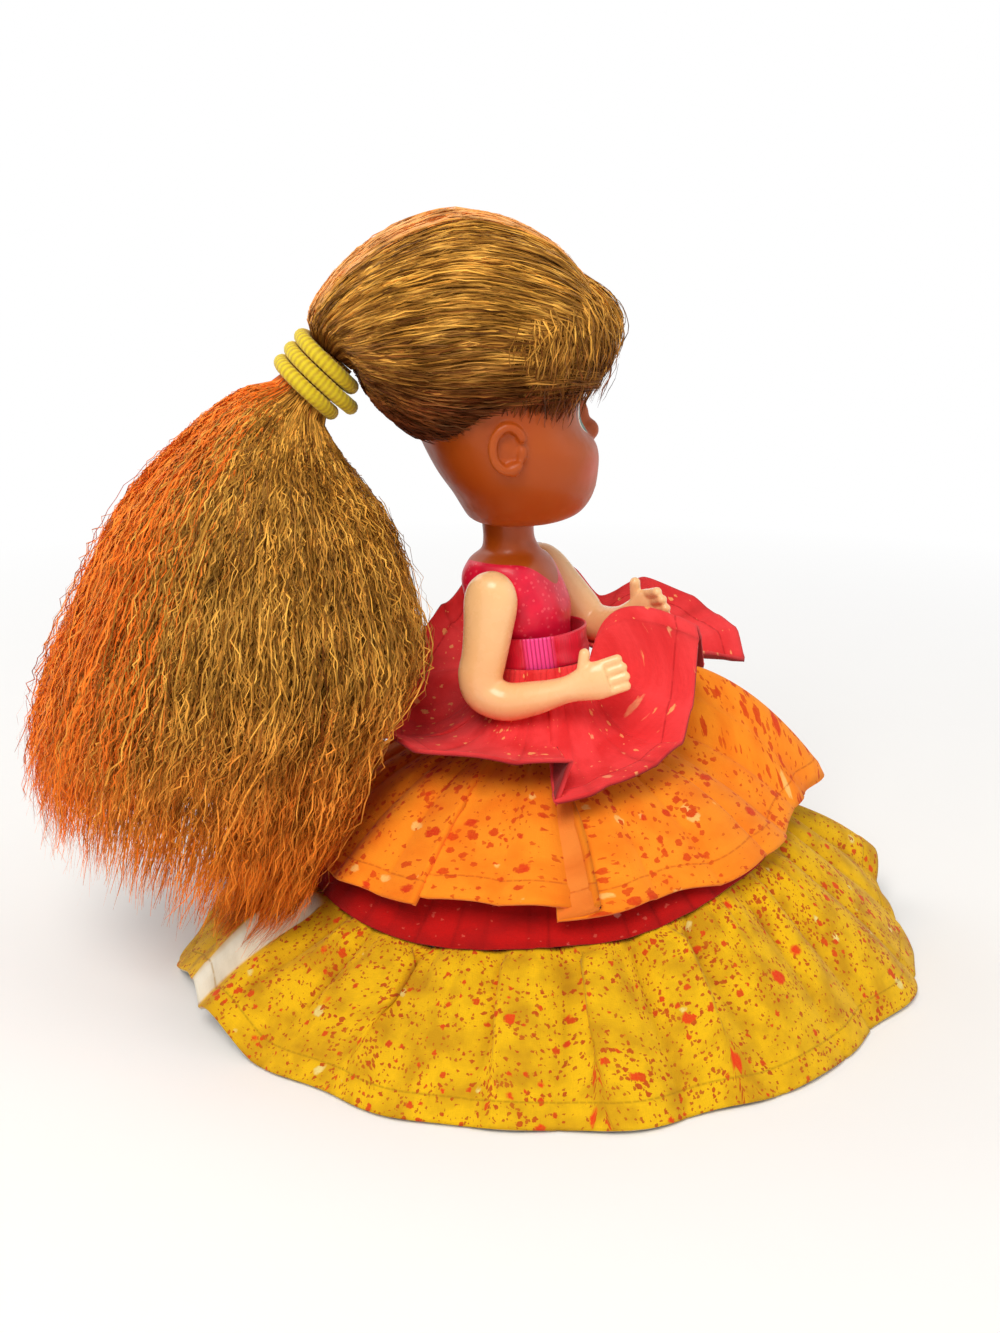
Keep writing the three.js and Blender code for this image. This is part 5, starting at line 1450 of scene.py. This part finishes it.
class DOLL_OT_arms(Operator):
    """Both arms with their hands"""
    bl_idname = "doll.arms"
    bl_label = "Arms"

    def execute(self, context):
        finish = moulded_vinyl("arm_vinyl", context.scene.doll_colours.arms, SKIN_DEEP, 0.27, 0.4)
        right = arm_skin("arm_right_skin", BENT_ARM, 0.8, True)
        finish_piece(right, finish.material, "right_arm", "peach_vinyl", "arm_right")
        left = arm_skin("arm_left_skin", raised_arm_rows(), 2.0, False)
        finish_piece(left, finish.material, "left_arm", "peach_vinyl", "arm_left")
        return {"FINISHED"}


class DOLL_OT_legs(Operator):
    """Finishes of the legs and shoes, whose shapes stay as they are"""
    bl_idname = "doll.legs"
    bl_label = "Legs and shoes"

    def execute(self, context):
        colours = context.scene.doll_colours
        skin = moulded_vinyl("leg_vinyl", colours.arms, SKIN_DEEP, 0.3, 0.3)
        shoe = moulded_vinyl("shoe_plastic", colours.shoes, (0.70, 0.10, 0.24), 0.35, 0.3)
        for side in ("right", "left"):
            for node, finish in ((f"leg_{side}", skin), (f"shoe_{side}", shoe)):
                slots = frame["nodes"][node].data.materials
                slots.clear()
                slots.append(finish.material)
        return {"FINISHED"}


class DOLL_OT_head(Operator):
    """Head with its ears and painted face"""
    bl_idname = "doll.head"
    bl_label = "Head"

    def execute(self, context):
        head = head_skin()
        finish = moulded_vinyl("head_vinyl", context.scene.doll_colours.head, HEAD_DEEP, 0.45, 0.05)
        skin = finish.shader.inputs["Base Color"].links[0].from_socket
        finish.feed(finish.shader, {"Base Color": painted_face(finish, skin)})
        finish_piece(head, finish.material, "head", "head_vinyl", "head_shell")
        return {"FINISHED"}


# How far the mass of combed hair lies under its strands
CORE_INSET = 0.9


class DOLL_OT_combed_hair(Operator):
    """Hair combed back over the head, brown with a coral streak"""
    bl_idname = "doll.combed_hair"
    bl_label = "Combed hair"

    def execute(self, context):
        colours, sizes = context.scene.doll_colours, context.scene.doll_sizes
        cores = [
            # piece, finish, its colours, slot, node
            ("combed_core", "brown_core", BROWN_CORE, "brown_hair", "hair_sides"),
            ("streak_core", "coral_core", CORAL_CORE, "coral_hair", "hair_streak"),
        ]
        for name, finish, shades, slot, node in cores:
            core = core_of_node(name, node, CORE_INSET)
            finish_piece(core, painted_shade_core_finish(finish, *shades), "head", slot, node)
        strands, locks, in_streak = scalp_strands(sizes.scalp_strands, 31)
        gloss = hair_finish("combed_strands")
        brown = np.flatnonzero(~in_streak)
        shades = [
            # piece, strands, colours in shade and in light, slot, node
            ("combed_strands_near", brown[::2], colours.hair_dark, colours.hair_bright,
             "brown_hair", "hair_sides"),
            ("combed_strands_far", brown[1::2], colours.hair_dark, colours.hair_bright,
             "brown_hair", "hair_sides"),
            ("streak_strands", np.flatnonzero(in_streak), colours.coral_bright, colours.coral_lit,
             "coral_hair", "hair_streak"),
        ]
        for name, chosen, dark, bright, slot, node in shades:
            picked = strands[chosen]
            away = away_from(picked, hair_point(8, 32))
            tints = combed_colours_with_painted_shade(picked, strand_colours(locks[chosen], dark, bright, 32))
            tints = tints * painted_lock_gloss(locks[chosen], picked[..., 1], 0.42, 34)
            piece = strand_piece(name, picked, away, sizes.strand, tints, 0.2, 33)
            finish_piece(piece, gloss, "head", slot, node)
        return {"FINISHED"}


class DOLL_OT_fringe(Operator):
    """Fringe over the forehead"""
    bl_idname = "doll.fringe"
    bl_label = "Fringe"

    def execute(self, context):
        colours, sizes = context.scene.doll_colours, context.scene.doll_sizes
        brown = painted_shade_core_finish("fringe_core", *BROWN_CORE)
        finish_piece(fringe_core(), brown, "head", "brown_hair", "fringe")
        strands, locks = fringe_strands(sizes.fringe_strands, 41)
        tints = combed_colours_with_painted_shade(strands, strand_colours(locks, colours.hair_dark, colours.hair_bright, 42))
        tints = tints * painted_lock_gloss(locks, strands[..., 2], 0.4, 44)
        away = away_from(strands, hair_point(2, 30.4))
        piece = strand_piece("fringe_strands", strands, away, sizes.strand, tints, 0.25, 43)
        finish_piece(piece, hair_finish("fringe_strands"), "head", "brown_hair", "fringe")
        return {"FINISHED"}


class DOLL_OT_ponytail(Operator):
    """Crimped ponytail, brown with a coral back"""
    bl_idname = "doll.ponytail"
    bl_label = "Ponytail"

    def execute(self, context):
        colours, sizes = context.scene.doll_colours, context.scene.doll_sizes
        core = painted_shade_core_finish("tail_core", *BROWN_CORE)
        nodes = ("ponytail_body", "ponytail_streak")
        finish_piece(tail_core(0.72), core, "head", "brown_hair", *nodes)
        gloss = hair_finish("tail_strands")
        shades = {
            False: ("brown", colours.hair_dark, colours.hair_bright, "brown_hair", nodes[0]),
            True: ("coral", colours.coral_dark, colours.coral_bright, "coral_hair", nodes[1]),
        }
        layers = [
            # name, strands, steps, least depth, part of their length, glint, seed
            ("inner", sizes.tail_strands // 2, 20, 0.45, 1.0, 0.3, 54),
            ("outer", sizes.tail_strands, 40, 0.86, 1.0, 0.4, 51),
            ("frizz", sizes.frizz_strands, 11, 0.93, 0.11, 0.6, 57),
        ]
        for layer, count, steps, shallowest, part, glint, seed in layers:
            strands, locks, coral = tail_strands(count, steps, shallowest, part, seed)
            for is_coral, (shade, dark, bright, slot, node) in shades.items():
                chosen = np.flatnonzero(coral == is_coral)
                for number, half in enumerate((chosen[::2], chosen[1::2])):
                    tints = tail_colours(strands[half], strand_colours(locks[half], dark, bright, seed + 1))
                    tints = tints * painted_lock_gloss(locks[half], strands[half][..., 2], 0.34, 56)
                    away = away_from(strands[half], (0, 56, 70))
                    name = f"tail_{layer}_{shade}_{number}"
                    piece = strand_piece(name, strands[half], away, sizes.strand, tints, glint, seed + number)
                    finish_piece(piece, gloss, "head", slot, node)
        return {"FINISHED"}


class DOLL_OT_elastic(Operator):
    """Ribbed elastic wound round the ponytail"""
    bl_idname = "doll.elastic"
    bl_label = "Hair elastic"

    def execute(self, context):
        points, faces, run = elastic_tube(ELASTIC_STEPS, ELASTIC_SIDES)
        piece = mesh_piece("hair_elastic_cord", points, faces)
        add_values(piece, "run", np.repeat(run, ELASTIC_SIDES))
        finish = Finish("ribbed_elastic", roughness=0.7, sheen_weight=0.2)
        ribs = finish.math("SINE", finish.math("MULTIPLY", finish.value("run"), 2 * math.pi / ELASTIC_RIB))
        threads = finish.noise(finish.object_place(), 2600.0, 2.0)["Fac"]
        tone = finish.stretch(finish.math("MULTIPLY_ADD", threads, 1.6, ribs), -0.4, 1.6)
        base = context.scene.doll_colours.elastic
        finish.feed(finish.shader, {"Base Color": finish.mix(tone, linear((0.76, 0.62, 0.02)), linear(base))})
        finish.bump(threads, 0.4, 0.2)
        finish_piece(piece, finish.material, "head", "yellow_elastic", "hair_elastic")
        return {"FINISHED"}


def band_surface(radius, middle_y, low, high, rise, lean):
    """A band round the waist, its front raised and its top edge set back."""

    def surface(turn, fall):
        angle = turn * 2 * math.pi
        y = middle_y + between(lean, 0.0, fall) + radius * np.sin(angle)
        return np.stack([radius * np.cos(angle), y, between(high, low, fall) - rise * np.sin(angle)], -1)

    return surface


# Pressed pleats of the sash, in degrees round the waist, and their colours: painted shade in the grooves and
# a painted reflection on the crests
PLEATS_FROM, PLEATS_TO = 184.0, 223.0
PLEAT_PITCH = 4.6
PLEAT_GROOVE_SHADE = (0.66, 0.03, 0.26)
PLEAT_CREST_REFLECTION = (0.97, 0.25, 0.56)
SASH_DEEP = (0.80, 0.04, 0.16)
# Sash and waistband: radius, the sash's middle, lower and upper edge, and how far the sash's top is set back
SASH_RADIUS, SASH_Y, SASH_FROM, SASH_TO = 9.6, -5.2, 59.6, 65.8
SASH_LEAN = 0.9
BAND_RADIUS, BAND_FROM, BAND_TO = 8.8, 54.6, 57.3
BAND_LENGTH = 58.0


def sash_relief(turn, fall):
    """Soft creases along the sash and a patch of pressed pleats on the doll's right side."""
    degrees = turn * 360.0
    pleated = smooth((degrees - PLEATS_FROM) / 4) * smooth((PLEATS_TO - degrees) / 4)
    pleats = 0.16 * np.cos(degrees * 2 * math.pi / PLEAT_PITCH) * pleated
    return pleats + 0.14 * np.sin(fall * math.pi * 3 + np.sin(turn * 25)) * (1 - pleated)


def band_relief(turn, fall):
    return 0.2 * gathers(turn, fall, 60, 4, 2.0, 3.0)


class DOLL_OT_waist(Operator):
    """Satin sash and the skirt's waistband"""
    bl_idname = "doll.waist"
    bl_label = "Sash and waistband"

    def execute(self, context):
        colours = context.scene.doll_colours
        satin = Finish("satin_ribbon", roughness=0.34, sheen_weight=0.1, specular_ior_level=0.5)
        flat = satin.add("UVMap", uv_map="Print").outputs[0]
        rib = satin.noise(satin.vector("MULTIPLY", flat, (6000.0, 260.0, 1.0))[0], 1.0, 2.0, "2D")["Fac"]
        tone = satin.stretch(rib, 0.3, 0.7)
        colour = satin.mix(tone, linear(SASH_DEEP), linear(colours.sash))
        run = satin.add("SeparateXYZ", {0: flat}).outputs[0]
        degrees = satin.math("MULTIPLY", run, 360.0 / (SASH_LENGTH * MM))
        # Painted reflection and painted shade on the pressed pleats, fading in at the patch's edges
        pleated = satin.math("MULTIPLY", satin.stretch(degrees, PLEATS_FROM, PLEATS_FROM + 9),
                             satin.stretch(degrees, PLEATS_TO, PLEATS_TO - 9))
        groove = satin.math("COSINE", satin.math("MULTIPLY", degrees, 2 * math.pi / PLEAT_PITCH))
        pleat_shade_and_reflection = satin.mix(satin.stretch(groove, -0.9, 0.5), linear(PLEAT_GROOVE_SHADE), linear(PLEAT_CREST_REFLECTION))
        satin.feed(satin.shader, {"Base Color": satin.mix(pleated, colour, pleat_shade_and_reflection)})
        satin.bump(rib, 0.25, 0.1)
        ribbon = band_surface(SASH_RADIUS, SASH_Y, SASH_FROM, SASH_TO, SASH_RISE, SASH_LEAN)
        sash = cloth_piece("satin_sash", ribbon, sash_relief, SASH_LENGTH, 14, 0.0)
        turn_with_body(sash)
        finish_piece(sash, satin.material, "body", "satin_ribbon", "waist_sash")
        strip = band_surface(BAND_RADIUS, HIP_Y, BAND_FROM, BAND_TO, 0.0, 0.0)
        band = cloth_piece("skirt_waistband", strip, band_relief, BAND_LENGTH, 8, 0.0)
        turn_with_body(band)
        cloth = printed_cloth("waistband_cloth", colours.red, (0.58, 0.03, 0.03), [], ((0.6, 0.1, 0.1),) * 2,
                              (0.4, 0.03, 0.03))
        finish_piece(band, cloth, "body", "red_cloth", "waistband")
        return {"FINISHED"}


class DOLL_OT_skirt(Operator):
    """The skirt's base and its three gathered tiers"""
    bl_idname = "doll.skirt"
    bl_label = "Skirt"

    def execute(self, context):
        colours, sizes = context.scene.doll_colours, context.scene.doll_sizes
        red = printed_cloth("red_cloth", colours.red, (0.64, 0.03, 0.03), [
            (1.6, 0.80, 0.9, (0.82, 0.30, 0.24)), (3.2, 0.84, 1.0, (0.87, 0.52, 0.46)),
            (7.0, 0.92, 1.2, (0.86, 0.58, 0.52))],
            ((0.60, 0.08, 0.07), (0.66, 0.11, 0.10)), (0.46, 0.02, 0.02))
        yellow = printed_cloth("yellow_cloth", colours.yellow, (0.78, 0.57, 0.03), [
            (6.5, 0.88, 1.4, (0.92, 0.84, 0.52)), (0.8, 0.52, 0.95, (0.74, 0.36, 0.05)),
            (1.3, 0.58, 0.9, (0.74, 0.27, 0.04)), (2.4, 0.68, 0.95, (0.84, 0.24, 0.04)),
            (4.6, 0.80, 0.95, (0.88, 0.22, 0.05)), (10.0, 0.86, 1.3, (0.90, 0.18, 0.06))],
            ((0.80, 0.76, 0.68), (0.90, 0.87, 0.80)), (0.66, 0.48, 0.03))
        orange = printed_cloth("orange_cloth", colours.orange, (0.97, 0.50, 0.07), [
            (5.0, 0.84, 1.2, (1.0, 0.76, 0.42)), (1.1, 0.62, 0.95, (0.88, 0.36, 0.03)),
            (1.8, 0.56, 0.9, (0.86, 0.29, 0.03)), (3.0, 0.66, 0.95, (0.85, 0.25, 0.03)),
            (5.2, 0.76, 1.0, (0.86, 0.20, 0.04))],
            ((0.90, 0.46, 0.14), (0.95, 0.54, 0.20)), (0.80, 0.33, 0.03))
        # The pink's dark red reverse is partly its own colour and partly painted shade, as it also draws the
        # shade beside the body
        pink = printed_cloth("pink_cloth", colours.pink, (0.88, 0.18, 0.19), [
            (1.2, 0.80, 0.9, (0.98, 0.55, 0.38)), (2.4, 0.76, 1.0, (0.99, 0.68, 0.42)),
            (4.6, 0.84, 1.2, (0.98, 0.64, 0.46))],
            ((0.50, 0.08, 0.09), (0.62, 0.14, 0.15)), (0.70, 0.08, 0.10))
        tiers = [
            # piece, surface, relief, flat width and length, rows, hem, cloth, slot, node, what it hangs from
            ("base_cloth", base_surface, base_relief, 190.0, 50.0, 24, 0.0, red, "red_cloth", "skirt_base",
             "skirt_waistband"),
            ("bottom_tier", bottom_surface, bottom_relief, 470.0, 31.0, 48, sizes.hem, yellow, "yellow_cloth",
             "flounce_bottom", "base_cloth"),
            ("middle_tier", middle_surface, middle_relief, 250.0, 39.0, 48, sizes.hem, orange, "orange_cloth",
             "flounce_middle", "base_cloth"),
            ("top_tier", top_surface, top_relief, 190.0, 30.0, 48, sizes.hem, pink, "pink_cloth",
             "flounce_top", "skirt_waistband"),
        ]
        for name, surface, relief, width, length, rows, hem, cloth, slot, node, held_by in tiers:
            # The bottom tier shows its real reverse at the parting; the top tier gets painted shade beside
            # the body
            reverse_and_shade_share = {"bottom_tier": parted_reverse, "top_tier": painted_shade_beside_body}.get(name)
            piece = cloth_piece(name, surface, relief, width, rows, hem, reverse_and_shade_share)
            finish_piece(piece, cloth, "body", slot, node)
        return {"FINISHED"}


class DOLL_PT_panel(Panel):
    bl_idname = "DOLL_PT_panel"
    bl_label = "Fashion doll"
    bl_space_type = "VIEW_3D"
    bl_region_type = "UI"
    bl_category = "Doll"

    def draw(self, context):
        for operator in STEPS:
            self.layout.operator(operator.bl_idname)
        for group in (context.scene.doll_colours, context.scene.doll_sizes):
            for name in group.bl_rna.properties.keys():
                if name not in ("rna_type", "name"):
                    self.layout.prop(group, name)


STEPS = [
    DOLL_OT_studio,
    DOLL_OT_torso,
    DOLL_OT_arms,
    DOLL_OT_legs,
    DOLL_OT_head,
    DOLL_OT_combed_hair,
    DOLL_OT_fringe,
    DOLL_OT_ponytail,
    DOLL_OT_elastic,
    DOLL_OT_waist,
    DOLL_OT_skirt,
]
CLASSES = [DollColours, DollSizes, *STEPS, DOLL_PT_panel]


def register():
    for made in CLASSES:
        bpy.utils.register_class(made)
    bpy.types.Scene.doll_colours = PointerProperty(type=DollColours)
    bpy.types.Scene.doll_sizes = PointerProperty(type=DollSizes)


def unregister():
    del bpy.types.Scene.doll_sizes
    del bpy.types.Scene.doll_colours
    for made in reversed(CLASSES):
        bpy.utils.unregister_class(made)


def main():
    register()
    bpy.ops.doll.studio()
    bpy.ops.doll.torso()
    bpy.ops.doll.arms()
    bpy.ops.doll.legs()
    bpy.ops.doll.head()
    bpy.ops.doll.combed_hair()
    bpy.ops.doll.fringe()
    bpy.ops.doll.ponytail()
    bpy.ops.doll.elastic()
    bpy.ops.doll.waist()
    bpy.ops.doll.skirt()


if __name__ == "__main__":
    main()
